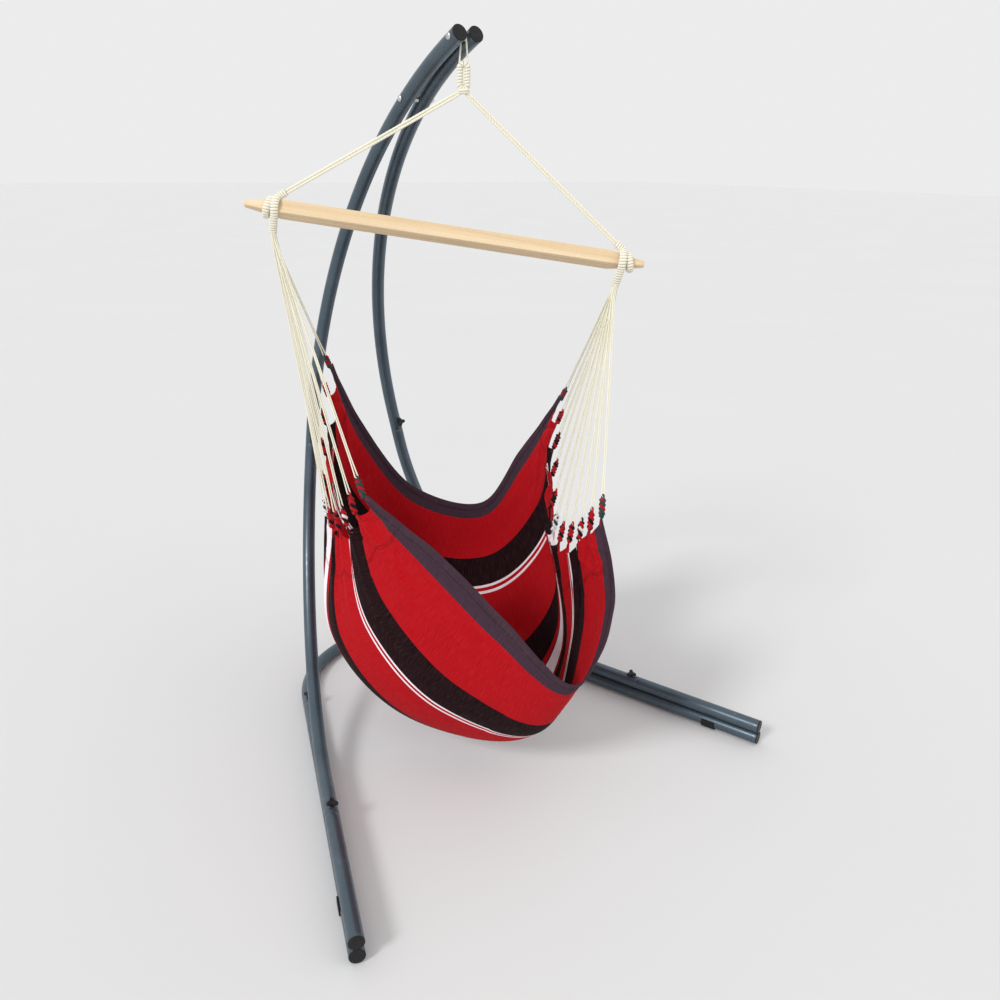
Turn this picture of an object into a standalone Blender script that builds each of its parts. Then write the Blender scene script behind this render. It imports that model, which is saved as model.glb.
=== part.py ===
"""Hanging chair on a two-armed tube stand: every separate piece as its own solid, in metres, +Z up.

The stand is mirror-symmetric about X = 0 and opens towards -Y. The chair hangs from a bolt between
the arm tips, turned about the vertical, so it has its own axes: `across` runs along the spreader bar
and `ahead` is where the sitter looks.
"""

import math

import bmesh
import bpy
from mathutils import Matrix, Vector

# ---- driving dimensions: tubes ----
TUBE_RADIUS = 0.021
TUBE_WALL = 0.0018
SPIGOT_RADIUS = 0.0189
SPIGOT_LENGTH = 0.050
TUBE_SIDES = 16
FIT_GAP = 0.0003

# ---- driving dimensions: stand ----
LEG_ANGLE = math.radians(18.9)
BASE_HEIGHT = 0.0235
LEG_HEIGHT = BASE_HEIGHT + 2 * TUBE_RADIUS + FIT_GAP
FOOT_Y = -0.683
LEG_LENGTH = 0.438
LOWER_STRAIGHT = 0.141
LOWER_BEND_RADIUS = 0.878
LOWER_BEND = math.radians(81.2)
ARM_LEAN = math.radians(7.2)
MID_STRAIGHT = 0.100
MID_SEAM_SETBACK = 0.062
ARM_ROLL = math.radians(-14.6)
UPPER_BEND_RADIUS = 1.14
UPPER_BEND = math.radians(73.0)
TIP_STRAIGHT = 0.046
TIP_SPACING = 0.050
REAR_BEND_RADIUS = 0.395
REAR_SOCKET_LENGTH = 0.056
KNOB_SETBACK = 0.028
ARM_STATION_ANGLE = math.radians(4.8)
REAR_STATION_ANGLE = math.radians(6.0)

# ---- driving dimensions: fittings ----
CAP_FLANGE = 0.003
CAP_PLUG_RADIUS = TUBE_RADIUS - TUBE_WALL - FIT_GAP
CAP_PLUG_LENGTH = 0.010
CAP_EDGE = 0.0008
SWAGE_TAPER = 0.010
STUD_RADIUS = 0.003
STUD_REACH = 0.009
KNOB_RADIUS = 0.013
KNOB_LOBE = 0.004
KNOB_COLLAR_RADIUS = 0.007
KNOB_COLLAR_HEIGHT = 0.0045
KNOB_HEIGHT = 0.0135
KNOB_SIDES = 18
BOLT_RADIUS = 0.004
BOLT_HEAD_RADIUS = 0.009
BOLT_HEAD_HEIGHT = 0.005
NUT_RADIUS = 0.0075
NUT_HEIGHT = 0.0065
SPACER_RADIUS = 0.008
HANGER_BOLT_SETBACK = 0.020
TIE_BOLT_SETBACK = 0.296
CLIP_LENGTH = 0.045
CLIP_SETBACK = 0.165
CLIP_TOP = 0.008
CLIP_GRIP_GAP = 0.0008
CLIP_HALF_WIDTH = 0.0245
CLIP_HALF_SOLE = 0.013
CLIP_SHOULDER = 0.012
BOLT_TAIL = 0.004

# ---- driving dimensions: suspension ----
CHAIR_TURN = math.radians(-36.9)
ACROSS = Vector((math.cos(CHAIR_TURN), math.sin(CHAIR_TURN), 0.0))
AHEAD = Vector((math.sin(CHAIR_TURN), -math.cos(CHAIR_TURN), 0.0))
UP = Vector((0.0, 0.0, 1.0))
CORD_RADIUS = 0.0025
CORD_CLEARANCE = 0.0008
EYE_HEIGHT = 0.074
EYE_TUBE_RADIUS = 0.0065
EYE_HALF_WIDTH = 0.011
EYE_BOTTOM = 1.948
ROPE_RADIUS = 0.0055
BAR_LENGTH = 1.100
BAR_HALF_SIZE = 0.0195
BAR_TIP_HALF_SIZE = 0.0105
BAR_TAPER = 0.100
BAR_TIP_EASE = 0.004
BAR_ROLL = math.radians(57.0)
BAR_TILT = math.radians(-7.5)
BAR_CENTRE = (-0.048, 0.0, 1.594)
RING_SETBACK = 0.055
RING_RADIUS = 0.0280
RING_BORE = 0.0222
RING_WIDTH = 0.030
RING_EASE = 0.002
ROPE_CLEARANCE = 0.001
SHANK_LENGTH = 0.036
SHANK_RADIUS = 0.0115
SHANK_FOOT_RADIUS = 0.0095
SHANK_CLEARANCE = 0.005
KNOT_RADIUS = 0.013
STRING_RADIUS = 0.0024

# ---- driving dimensions: seat cloth ----
# Six lines across the seat from its left edge to its right, each of five (across, ahead, height) points
# from the back hem to the front hem.
LEFT_EDGE = (
    (-0.450, -0.330, 1.158),
    (-0.448, -0.189, 0.950),
    (-0.423, -0.019, 0.745),
    (-0.343, 0.141, 0.770),
    (-0.253, 0.266, 0.925),
)
LEFT_WALL = (
    (-0.350, -0.390, 0.915),
    (-0.420, -0.250, 0.660),
    (-0.420, 0.060, 0.400),
    (-0.260, 0.250, 0.510),
    (-0.050, 0.345, 0.795),
)
LEFT_FLOOR = (
    (-0.200, -0.430, 0.700),
    (-0.210, -0.330, 0.390),
    (-0.200, 0.100, 0.150),
    (-0.050, 0.322, 0.295),
    (0.135, 0.413, 0.630),
)
RIGHT_FLOOR = (
    (0.040, -0.448, 0.635),
    (0.080, -0.330, 0.370),
    (0.140, 0.130, 0.130),
    (0.238, 0.310, 0.200),
    (0.325, 0.459, 0.463),
)
RIGHT_WALL = (
    (0.174, -0.410, 0.845),
    (0.260, -0.250, 0.600),
    (0.310, 0.040, 0.340),
    (0.340, 0.180, 0.440),
    (0.429, 0.360, 0.650),
)
RIGHT_EDGE = (
    (0.304, -0.330, 1.064),
    (0.277, -0.189, 0.890),
    (0.277, -0.019, 0.710),
    (0.332, 0.141, 0.745),
    (0.396, 0.270, 0.880),
)
CLOTH_LINES = (LEFT_EDGE, LEFT_WALL, LEFT_FLOOR, RIGHT_FLOOR, RIGHT_WALL, RIGHT_EDGE)
CLOTH_THICKNESS = 0.004
CELLS_ACROSS = 18
CELLS_ALONG = 31
LOOPS_PER_SIDE = 11
LOOP_LENGTH = 0.066
LOOP_HALF_SIZE = 0.0065
LOOP_ROOT_LENGTH = 0.018


# ---------------------------------------------------------------- materials
def principled(name, colour, roughness, metallic=0.0):
    material = bpy.data.materials.new(name)
    material.use_nodes = True
    shader = material.node_tree.nodes["Principled BSDF"]
    shader.inputs["Base Color"].default_value = (*colour, 1.0)
    shader.inputs["Roughness"].default_value = roughness
    shader.inputs["Metallic"].default_value = metallic
    return material


def make_materials():
    return {
        "tube": principled("anthracite_powder_coat", (0.09, 0.13, 0.16), 0.42, 0.35),
        "plastic": principled("black_plastic", (0.015, 0.015, 0.017), 0.55),
        "bolt": principled("bright_zinc", (0.62, 0.62, 0.60), 0.25, 1.0),
        "cord": principled("ivory_cotton_cord", (0.82, 0.78, 0.64), 0.9),
        "wood": principled("beech", (0.79, 0.62, 0.40), 0.55),
        "cloth": principled("striped_cotton", (0.54, 0.01, 0.02), 0.9),
    }


# ---------------------------------------------------------------- mesh helpers
def clear_scene():
    for item in list(bpy.data.objects):
        bpy.data.objects.remove(item, do_unlink=True)


def finish_object(name, bm, material, origin=None, parent=None, smooth=True):
    """Turns a bmesh in world coordinates into an object whose origin is `origin`, under `parent`."""
    bmesh.ops.recalc_face_normals(bm, faces=bm.faces)
    origin = Vector(origin) if origin is not None else Vector()
    bm.transform(Matrix.Translation(-origin))
    mesh = bpy.data.meshes.new(name)
    bm.to_mesh(mesh)
    bm.free()
    if smooth:
        mesh.shade_smooth()
        mesh.set_sharp_from_angle(angle=math.radians(40))
    mesh.materials.append(material)
    item = bpy.data.objects.new(name, mesh)
    bpy.context.scene.collection.objects.link(item)
    item.parent = parent
    item.location = origin - (parent.matrix_world.translation if parent else Vector())
    return item


def pivot(name, place):
    empty = bpy.data.objects.new(name, None)
    bpy.context.scene.collection.objects.link(empty)
    empty.location = place
    bpy.context.view_layer.update()
    return empty


def loft(bm, rings, close_ends=True, loop=False):
    """Skins rings of equal point count into a tube; `loop` joins the last ring to the first."""
    rows = [[bm.verts.new(point) for point in ring] for ring in rings]
    count = len(rows[0])
    pairs = list(zip(rows, rows[1:]))
    if loop:
        pairs.append((rows[-1], rows[0]))
    for first, second in pairs:
        for i in range(count):
            j = (i + 1) % count
            bm.faces.new((first[i], first[j], second[j], second[i]))
    if close_ends and not loop:
        bm.faces.new(rows[0])
        bm.faces.new(rows[-1])
    return rows


def bridge(bm, first, second):
    count = len(first)
    for i in range(count):
        j = (i + 1) % count
        bm.faces.new((first[i], first[j], second[j], second[i]))


def circle(centre, axis_a, axis_b, radius, sides):
    angles = [2 * math.pi * i / sides for i in range(sides)]
    return [centre + radius * (math.cos(a) * axis_a + math.sin(a) * axis_b) for a in angles]


def side_axes(direction, reference=UP):
    """Two unit vectors square to `direction`, the first as near to `reference` as it can be."""
    first = (reference - reference.dot(direction) * direction).normalized()
    return first, direction.cross(first)


def turned(name, material, start, direction, profile, sides, bore=None, **place):
    """A solid turned about an axis; profile is (distance along, radius), and a bore runs right through."""
    direction = direction.normalized()
    reference = UP if abs(direction.z) < 0.9 else Vector((1.0, 0.0, 0.0))
    first, second = side_axes(direction, reference)
    bm = bmesh.new()
    rings = [circle(start + s * direction, first, second, r, sides) for s, r in profile]
    rows = loft(bm, rings, bore is None)
    if bore is not None:
        ends = (profile[0][0], profile[-1][0])
        inner = loft(bm, [circle(start + s * direction, first, second, bore, sides) for s in ends], False)
        bridge(bm, rows[0], inner[0])
        bridge(bm, rows[-1], inner[-1])
    return finish_object(name, bm, material, **place)


def cutter(name, start, end, radius):
    direction = end - start
    item = turned(name, None, start, direction, ((0.0, radius), (direction.length, radius)), 16, smooth=False)
    item.hide_render = True
    item.display_type = "WIRE"
    return item


def subtract(item, tool):
    modifier = item.modifiers.new(tool.name, "BOOLEAN")
    modifier.operation = "DIFFERENCE"
    modifier.solver = "EXACT"
    modifier.object = tool


def spline(points, fraction):
    """A point on the smooth curve through `points` (Catmull-Rom), with fraction from 0 to 1."""
    spans = len(points) - 1
    place = min(max(fraction, 0.0), 1.0) * spans
    index = min(int(place), spans - 1)
    t = place - index
    p1 = Vector(points[index])
    p2 = Vector(points[index + 1])
    p0 = Vector(points[index - 1]) if index > 0 else 2 * p1 - p2
    p3 = Vector(points[index + 2]) if index + 2 <= spans else 2 * p2 - p1
    a = 2 * p1
    b = (p2 - p0) * t
    c = (2 * p0 - 5 * p1 + 4 * p2 - p3) * t * t
    d = (3 * p1 - p0 - 3 * p2 + p3) * t * t * t
    return 0.5 * (a + b + c + d)


# ---------------------------------------------------------------- tube centrelines
class Centreline:
    """Straights and arcs end to end. `bend_side` is the unit vector that an arc turns towards."""

    def __init__(self, start, direction, bend_side):
        self.place = start
        self.direction = direction
        self.bend_side = bend_side
        self.roll_so_far = 0.0
        self.length = 0.0
        self.spans = []

    def _add(self, length, curvature):
        span = (self.length, self.place, self.direction, self.bend_side, self.roll_so_far, curvature)
        self.spans.append(span)
        self.length += length
        self.place, self.direction, self.bend_side = self._step(span, length)

    @staticmethod
    def _step(span, distance):
        _, place, direction, side, _, curvature = span
        if curvature == 0.0:
            return place + distance * direction, direction, side
        angle = distance * curvature
        radius = 1 / curvature
        moved = place + radius * math.sin(angle) * direction + radius * (1 - math.cos(angle)) * side
        heading = math.cos(angle) * direction + math.sin(angle) * side
        return moved, heading, math.cos(angle) * side - math.sin(angle) * direction

    def straight(self, length):
        self._add(length, 0.0)

    def arc(self, radius, angle):
        self._add(radius * angle, 1 / radius)

    def roll(self, angle):
        binormal = self.direction.cross(self.bend_side)
        self.bend_side = math.cos(angle) * self.bend_side + math.sin(angle) * binormal
        self.roll_so_far += angle

    def at(self, s):
        """Place, direction, bend side, and the two section axes, which never twist along the tube."""
        span = self.spans[0]
        for candidate in self.spans:
            if candidate[0] <= s:
                span = candidate
        place, direction, side = self._step(span, s - span[0])
        binormal = direction.cross(side)
        first = math.cos(span[4]) * side - math.sin(span[4]) * binormal
        return place, direction, side, first, direction.cross(first)

    def ring(self, s, radius, hand, sides=TUBE_SIDES):
        place, _, _, first, second = self.at(s)
        return [mirrored(point, hand) for point in circle(place, first, second, radius, sides)]


def mirrored(vector, hand):
    return Vector((hand * vector.x, vector.y, vector.z))


def stations(start, end, spacing):
    count = max(1, math.ceil((end - start) / spacing))
    return [start + (end - start) * i / count for i in range(count + 1)]


def arm_centreline():
    """From the foot along the leg, up the lower arm and over to the tip, set so that the tips are a pair."""
    outward = Vector((math.sin(LEG_ANGLE), -math.cos(LEG_ANGLE), 0.0))
    inward = Vector((-math.cos(LEG_ANGLE), -math.sin(LEG_ANGLE), 0.0))
    rise = math.cos(ARM_LEAN) * UP + math.sin(ARM_LEAN) * inward

    def laid_from(foot_x):
        line = Centreline(Vector((foot_x, FOOT_Y, LEG_HEIGHT)), -outward, rise)
        line.straight(LEG_LENGTH + LOWER_STRAIGHT)
        line.arc(LOWER_BEND_RADIUS, LOWER_BEND)
        line.straight(MID_STRAIGHT)
        line.roll(ARM_ROLL)
        line.arc(UPPER_BEND_RADIUS, UPPER_BEND)
        line.straight(TIP_STRAIGHT)
        return line

    return laid_from(TIP_SPACING / 2 - laid_from(0.0).place.x)


ARM = arm_centreline()
FOOT_X = ARM.at(0.0)[0].x
LEG_SEAM = LEG_LENGTH
MID_SEAM = LEG_LENGTH + LOWER_STRAIGHT + LOWER_BEND_RADIUS * LOWER_BEND + MID_STRAIGHT - MID_SEAM_SETBACK
BASE_RUN = (FOOT_X - REAR_BEND_RADIUS * math.cos(LEG_ANGLE)) / math.sin(LEG_ANGLE)
REAR_SEAM = BASE_RUN - REAR_SOCKET_LENGTH


def base_centreline():
    """From the foot straight back under the leg, then round the rear bend to the other side's socket."""
    inward = Vector((-math.sin(LEG_ANGLE), math.cos(LEG_ANGLE), 0.0))
    line = Centreline(Vector((FOOT_X, FOOT_Y, BASE_HEIGHT)), inward, UP.cross(inward))
    line.straight(BASE_RUN)
    line.arc(REAR_BEND_RADIUS, math.pi - 2 * LEG_ANGLE)
    line.straight(REAR_SOCKET_LENGTH)
    return line


BASE = base_centreline()


# ---------------------------------------------------------------- stand tubes
def hollow_tube(name, line, start, end, material, hand, spacing, spigot=False):
    """A tube wall along `line` from start to end; a spigot is swaged on past the end for the next tube."""
    bore = TUBE_RADIUS - TUBE_WALL
    outer = [(s, TUBE_RADIUS) for s in stations(start, end, spacing)]
    inner = [(s, bore) for s in stations(start, end - (SWAGE_TAPER if spigot else 0.0), spacing)]
    if spigot:
        outer += [(end, SPIGOT_RADIUS), (end + SPIGOT_LENGTH, SPIGOT_RADIUS)]
        inner += [(end, SPIGOT_RADIUS - TUBE_WALL), (end + SPIGOT_LENGTH, SPIGOT_RADIUS - TUBE_WALL)]
    bm = bmesh.new()
    outside = loft(bm, [line.ring(s, r, hand) for s, r in outer], False)
    inside = loft(bm, [line.ring(s, r, hand) for s, r in inner], False)
    bridge(bm, outside[0], inside[0])
    bridge(bm, outside[-1], inside[-1])
    return finish_object(name, bm, material)


def end_cap(name, line, end, outward_sign, material, hand):
    """A plug pressed into a tube's open end, with a thin flange flush with the tube."""
    depths = (
        (CAP_FLANGE, TUBE_RADIUS - CAP_EDGE),
        (CAP_FLANGE - CAP_EDGE, TUBE_RADIUS),
        (FIT_GAP, TUBE_RADIUS),
        (FIT_GAP, CAP_PLUG_RADIUS),
        (-CAP_PLUG_LENGTH, CAP_PLUG_RADIUS),
    )
    bm = bmesh.new()
    loft(bm, [line.ring(end + outward_sign * depth, radius, hand) for depth, radius in depths])
    return finish_object(name, bm, material)


def joint_hole(name, line, s, side_vector, hand):
    place = mirrored(line.at(s)[0], hand)
    out = mirrored(side_vector, hand)
    return cutter(name, place + 0.010 * out, place + 0.030 * out, STUD_RADIUS + 0.0004)


def make_side(side_name, hand, material):
    """One side's tubes and caps: upper arm, lower arm, leg and base, drilled for their knobs."""
    arm_step = UPPER_BEND_RADIUS * ARM_STATION_ANGLE
    upper = hollow_tube(
        f"upper_arm_{side_name}", ARM, MID_SEAM + FIT_GAP, ARM.length, material["tube"], hand, arm_step)
    lower = hollow_tube(
        f"lower_arm_{side_name}", ARM, LEG_SEAM + FIT_GAP, MID_SEAM, material["tube"], hand, arm_step, True)
    leg = hollow_tube(f"leg_tube_{side_name}", ARM, 0.0, LEG_SEAM, material["tube"], hand, 1.0, True)
    base = hollow_tube(f"base_tube_{side_name}", BASE, 0.0, REAR_SEAM, material["tube"], hand, 2.0, True)
    end_cap(f"arm_cap_{side_name}", ARM, ARM.length, 1, material["plastic"], hand)
    end_cap(f"leg_cap_{side_name}", ARM, 0.0, -1, material["plastic"], hand)
    end_cap(f"base_cap_{side_name}", BASE, 0.0, -1, material["plastic"], hand)

    mid_hole = joint_hole(f"cut_mid_{side_name}", ARM, MID_SEAM + KNOB_SETBACK, knob_side(MID_SEAM), hand)
    leg_hole = joint_hole(f"cut_leg_{side_name}", ARM, LEG_SEAM + KNOB_SETBACK, knob_side(LEG_SEAM), hand)
    for item in (upper, lower):
        subtract(item, mid_hole)
    for item in (lower, leg):
        subtract(item, leg_hole)
    return upper, base


def knob_side(seam):
    return ARM.at(seam + KNOB_SETBACK)[2]


def make_rear_bend(material, bases):
    step = REAR_BEND_RADIUS * REAR_STATION_ANGLE
    end = BASE.length
    bend = hollow_tube("rear_bend", BASE, REAR_SEAM + FIT_GAP, end - FIT_GAP, material["tube"], 1, step)
    for (side_name, hand), base in zip(SIDES, bases):
        hole = joint_hole(f"cut_rear_{side_name}", BASE, REAR_SEAM + KNOB_SETBACK, UP, hand)
        subtract(bend, hole)
        subtract(base, hole)


# ---------------------------------------------------------------- stand fittings
def knob_mesh(material):
    """Three-lobed hand knob on its threaded stud, standing along +Z with its collar's foot at the origin."""
    shoulder = KNOB_COLLAR_HEIGHT + 0.002
    brow = KNOB_HEIGHT - 0.0015

    def section(height, radius, lobe=0.0):
        points = []
        for i in range(KNOB_SIDES):
            angle = 2 * math.pi * i / KNOB_SIDES
            reach = radius + lobe * math.cos(3 * angle)
            points.append(Vector((reach * math.cos(angle), reach * math.sin(angle), height)))
        return points

    bm = bmesh.new()
    loft(bm, [
        section(-STUD_REACH, STUD_RADIUS),
        section(0.0, STUD_RADIUS),
        section(0.0, KNOB_COLLAR_RADIUS),
        section(KNOB_COLLAR_HEIGHT, KNOB_COLLAR_RADIUS),
        section(shoulder, KNOB_RADIUS, KNOB_LOBE),
        section(brow, KNOB_RADIUS, KNOB_LOBE),
        section(KNOB_HEIGHT, KNOB_RADIUS * 0.82, KNOB_LOBE),
    ])
    bmesh.ops.recalc_face_normals(bm, faces=bm.faces)
    mesh = bpy.data.meshes.new("wing_knob")
    bm.to_mesh(mesh)
    bm.free()
    mesh.shade_smooth()
    mesh.set_sharp_from_angle(angle=math.radians(40))
    mesh.materials.append(material)
    return mesh


def place_knob(name, mesh, line, s, side_vector, hand):
    out = mirrored(side_vector, hand).normalized()
    item = bpy.data.objects.new(name, mesh)
    bpy.context.scene.collection.objects.link(item)
    item.location = mirrored(line.at(s)[0], hand) + (TUBE_RADIUS + FIT_GAP) * out
    item.rotation_euler = out.to_track_quat("Z", "Y").to_euler()


def make_knobs(material):
    mesh = knob_mesh(material["plastic"])
    for side_name, hand in SIDES:
        place_knob(f"mid_knob_{side_name}", mesh, ARM, MID_SEAM + KNOB_SETBACK, knob_side(MID_SEAM), hand)
        place_knob(f"leg_knob_{side_name}", mesh, ARM, LEG_SEAM + KNOB_SETBACK, knob_side(LEG_SEAM), hand)
        place_knob(f"rear_knob_{side_name}", mesh, BASE, REAR_SEAM + KNOB_SETBACK, UP, hand)


def cross_bolt(name, setback, material, arms):
    """Bolt through both arms, its nut, and the sleeve that keeps the arms apart."""
    centre, heading = ARM.at(ARM.length - setback)[:2]
    arm_x = centre.x
    middle = Vector((0.0, centre.y, centre.z))
    right = Vector((1.0, 0.0, 0.0))
    slope = math.asin(abs(heading.x))
    stand_off = TUBE_RADIUS / math.cos(slope) + BOLT_HEAD_RADIUS * math.tan(slope) + FIT_GAP
    face = arm_x + stand_off
    head = (
        (-face - BOLT_HEAD_HEIGHT, 0.35 * BOLT_HEAD_RADIUS),
        (-face - 0.75 * BOLT_HEAD_HEIGHT, 0.75 * BOLT_HEAD_RADIUS),
        (-face - 0.3 * BOLT_HEAD_HEIGHT, BOLT_HEAD_RADIUS),
        (-face, BOLT_HEAD_RADIUS),
        (-face, BOLT_RADIUS),
        (face + NUT_HEIGHT + BOLT_TAIL, BOLT_RADIUS),
    )
    turned(f"{name}_bolt", material["bolt"], middle, right, head, 16)
    bore = BOLT_RADIUS + FIT_GAP
    nut = ((face, NUT_RADIUS), (face + NUT_HEIGHT, NUT_RADIUS))
    hex_bore = bore / math.cos(math.pi / 6)
    turned(f"{name}_nut", material["bolt"], middle, right, nut, 6, bore=hex_bore)
    half = arm_x - stand_off
    sleeve = ((-half, SPACER_RADIUS), (half, SPACER_RADIUS))
    turned(f"{name}_spacer", material["bolt"], middle, right, sleeve, 16, bore=bore)
    reach = (arm_x + 2 * TUBE_RADIUS) * right
    hole = cutter(f"cut_{name}", middle - reach, middle + reach, BOLT_RADIUS + FIT_GAP)
    for arm in arms:
        subtract(arm, hole)
    return middle


def floor_clip(name, line, s, hand, material):
    """Snap-on foot that hugs a base tube from below and ends in a flat sole on the floor."""
    bore = TUBE_RADIUS + CLIP_GRIP_GAP
    side = ((-CLIP_HALF_WIDTH, CLIP_TOP), (-CLIP_HALF_WIDTH, -CLIP_SHOULDER))
    left_half = (*side, (-CLIP_HALF_SOLE, -BASE_HEIGHT))
    outer = left_half + tuple((-x, z) for x, z in reversed(left_half))
    lip = math.asin(CLIP_TOP / bore)
    steps = 12
    inner = []
    for i in range(steps + 1):
        angle = lip - (math.pi + 2 * lip) * i / steps
        inner.append((bore * math.cos(angle), bore * math.sin(angle)))
    bm = bmesh.new()
    rings = []
    for station in (s - CLIP_LENGTH / 2, s, s + CLIP_LENGTH / 2):
        place, direction, _, _, _ = line.at(station)
        aside = direction.cross(UP)
        rings.append([mirrored(place + x * aside + z * UP, hand) for x, z in outer + tuple(inner)])
    loft(bm, rings)
    finish_object(name, bm, material["plastic"], smooth=False)


# ---------------------------------------------------------------- suspension
def chair_point(across, ahead, height):
    """A point given in the chair's axes, which stand under the hanger bolt."""
    return Vector((0.0, HANGER.y, 0.0)) + across * ACROSS + ahead * AHEAD + height * UP


def solid_rod(name, material, start, end, radius, sides, parent, end_radius=None):
    direction = end - start
    profile = ((0.0, radius), (direction.length, end_radius or radius))
    return turned(name, material, start, direction, profile, sides,
                  origin=parent.matrix_world.translation, parent=parent)


def closed_tube(name, material, places, normals, radius, sides, parent):
    """A tube round a closed path; `normals` keep each section square to the path's plane."""
    count = len(places)
    rings = []
    for i in range(count):
        direction = (places[(i + 1) % count] - places[i - 1]).normalized()
        first, second = side_axes(direction, normals[i])
        rings.append(circle(places[i], first, second, radius, sides))
    bm = bmesh.new()
    loft(bm, rings, loop=True)
    return finish_object(name, bm, material, origin=parent.matrix_world.translation, parent=parent)


def hanging_cord(material, parent):
    """The cord loop over the hanger bolt's sleeve and through the eye, a quarter-turned link."""
    top_radius = SPACER_RADIUS + CORD_CLEARANCE + CORD_RADIUS
    low_radius = EYE_TUBE_RADIUS + 2 * CORD_CLEARANCE + CORD_RADIUS
    low_centre = EYE_BOTTOM + EYE_HEIGHT - EYE_TUBE_RADIUS
    fore_aft = Vector((0.0, -1.0, 0.0))
    centre = Vector((0.0, HANGER.y, 0.0))
    half_turn = 6
    places = []
    normals = []
    for i in range(half_turn + 1):
        angle = math.pi * i / half_turn
        out = math.cos(angle) * fore_aft
        places.append(centre + top_radius * out + (HANGER.z + top_radius * math.sin(angle)) * UP)
        normals.append(fore_aft.cross(UP))
    for i in range(half_turn + 1):
        angle = math.pi * i / half_turn
        out = -math.cos(angle) * AHEAD
        places.append(centre + low_radius * out + (low_centre - low_radius * math.sin(angle)) * UP)
        normals.append(AHEAD.cross(UP))
    closed_tube("hanging_cord", material["cord"], places, normals, CORD_RADIUS, 8, parent)


def wrapped_eye(material, parent):
    """The bound rope eye, a long ring that stands across the chair."""
    steps = 8
    top = EYE_BOTTOM + EYE_HEIGHT - EYE_TUBE_RADIUS - EYE_HALF_WIDTH
    low = EYE_BOTTOM + EYE_TUBE_RADIUS + EYE_HALF_WIDTH
    places = []
    for height, sign in ((top, 1), (low, -1)):
        for i in range(steps + 1):
            angle = math.pi * i / steps
            across = sign * EYE_HALF_WIDTH * math.cos(angle)
            places.append(chair_point(across, 0.0, height + sign * EYE_HALF_WIDTH * math.sin(angle)))
    closed_tube("wrapped_eye", material["cord"], places, [AHEAD] * len(places), EYE_TUBE_RADIUS, 8, parent)


def bar_axes():
    along = (math.cos(BAR_TILT) * ACROSS + math.sin(BAR_TILT) * UP).normalized()
    above = along.cross(AHEAD)
    if above.z < 0:
        above = -above
    return along, above


def spreader_bar(material, parent):
    """Square beech bar, its corners eased and its last stretch tapered to a round-cornered tip."""
    along, above = bar_axes()
    half = BAR_LENGTH / 2
    shape = (
        (-half, 0.78 * BAR_TIP_HALF_SIZE),
        (-half + BAR_TIP_EASE, BAR_TIP_HALF_SIZE),
        (-half + BAR_TAPER, BAR_HALF_SIZE),
        (half - BAR_TAPER, BAR_HALF_SIZE),
        (half - BAR_TIP_EASE, BAR_TIP_HALF_SIZE),
        (half, 0.78 * BAR_TIP_HALF_SIZE),
    )
    first = math.cos(BAR_ROLL) * above + math.sin(BAR_ROLL) * AHEAD
    second = along.cross(first)
    centre = chair_point(*BAR_CENTRE)
    bm = bmesh.new()
    rings = []
    for place, size in shape:
        ease = 0.003 + 0.25 * (BAR_HALF_SIZE - size)
        flat = size - ease
        corners = ((size, flat), (flat, size), (-flat, size), (-size, flat),
                   (-size, -flat), (-flat, -size), (flat, -size), (size, -flat))
        rings.append([centre + place * along + x * first + y * second for x, y in corners])
    loft(bm, rings)
    finish_object("spreader_bar", bm, material["wood"], origin=parent.matrix_world.translation, parent=parent)


def ring_place(hand):
    along, _ = bar_axes()
    return chair_point(*BAR_CENTRE) + hand * (BAR_LENGTH / 2 - RING_SETBACK) * along


def end_ring(side_name, hand, material, parent):
    """The bound rope ring that sits round the bar near its end."""
    along, _ = bar_axes()
    half = RING_WIDTH / 2
    profile = (
        (-half, RING_RADIUS - RING_EASE),
        (-half + RING_EASE, RING_RADIUS),
        (half - RING_EASE, RING_RADIUS),
        (half, RING_RADIUS - RING_EASE),
    )
    turned(f"end_ring_{side_name}", material["cord"], ring_place(hand), along, profile, 14, bore=RING_BORE,
           origin=parent.matrix_world.translation, parent=parent)


def rope(side_name, hand, material, parent):
    """The doubled rope from the eye down to the ring at one end of the bar."""
    _, above = bar_axes()
    root = parent.matrix_world.translation
    foot = ring_place(hand) + (RING_RADIUS + ROPE_RADIUS + ROPE_CLEARANCE) * above
    direction = (foot - root).normalized()
    start = root + (EYE_HALF_WIDTH + EYE_TUBE_RADIUS + ROPE_CLEARANCE) * direction
    solid_rod(f"rope_{side_name}", material["cord"], start, foot, ROPE_RADIUS, 8, parent)


# ---------------------------------------------------------------- seat
def knot_place(hand):
    ring = ring_place(hand)
    return ring + (RING_RADIUS + SHANK_CLEARANCE + SHANK_LENGTH + KNOT_RADIUS) * shank_direction(hand)


def shank_direction(hand):
    """Down towards the middle of the side's cloth edge, in the upright plane through the bar."""
    across, _, height = (LEFT_EDGE if hand < 0 else RIGHT_EDGE)[2]
    return (chair_point(across, BAR_CENTRE[1], height) - ring_place(hand)).normalized()


def shank(side_name, hand, material, parent):
    """The bound rope end that hangs from the bar and holds one side's strings."""
    direction = shank_direction(hand)
    start = ring_place(hand) + (RING_RADIUS + SHANK_CLEARANCE) * direction
    end = start + (SHANK_LENGTH - FIT_GAP) * direction
    name = f"string_shank_{side_name}"
    solid_rod(name, material["cord"], start, end, SHANK_RADIUS, 12, parent, SHANK_FOOT_RADIUS)


def rib_point(along, across):
    """The cloth's middle surface: `along` runs from back hem to front, `across` from left edge to right."""
    rib = [spline(line, along) for line in CLOTH_LINES]
    return chair_point(*spline(rib, across))


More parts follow.
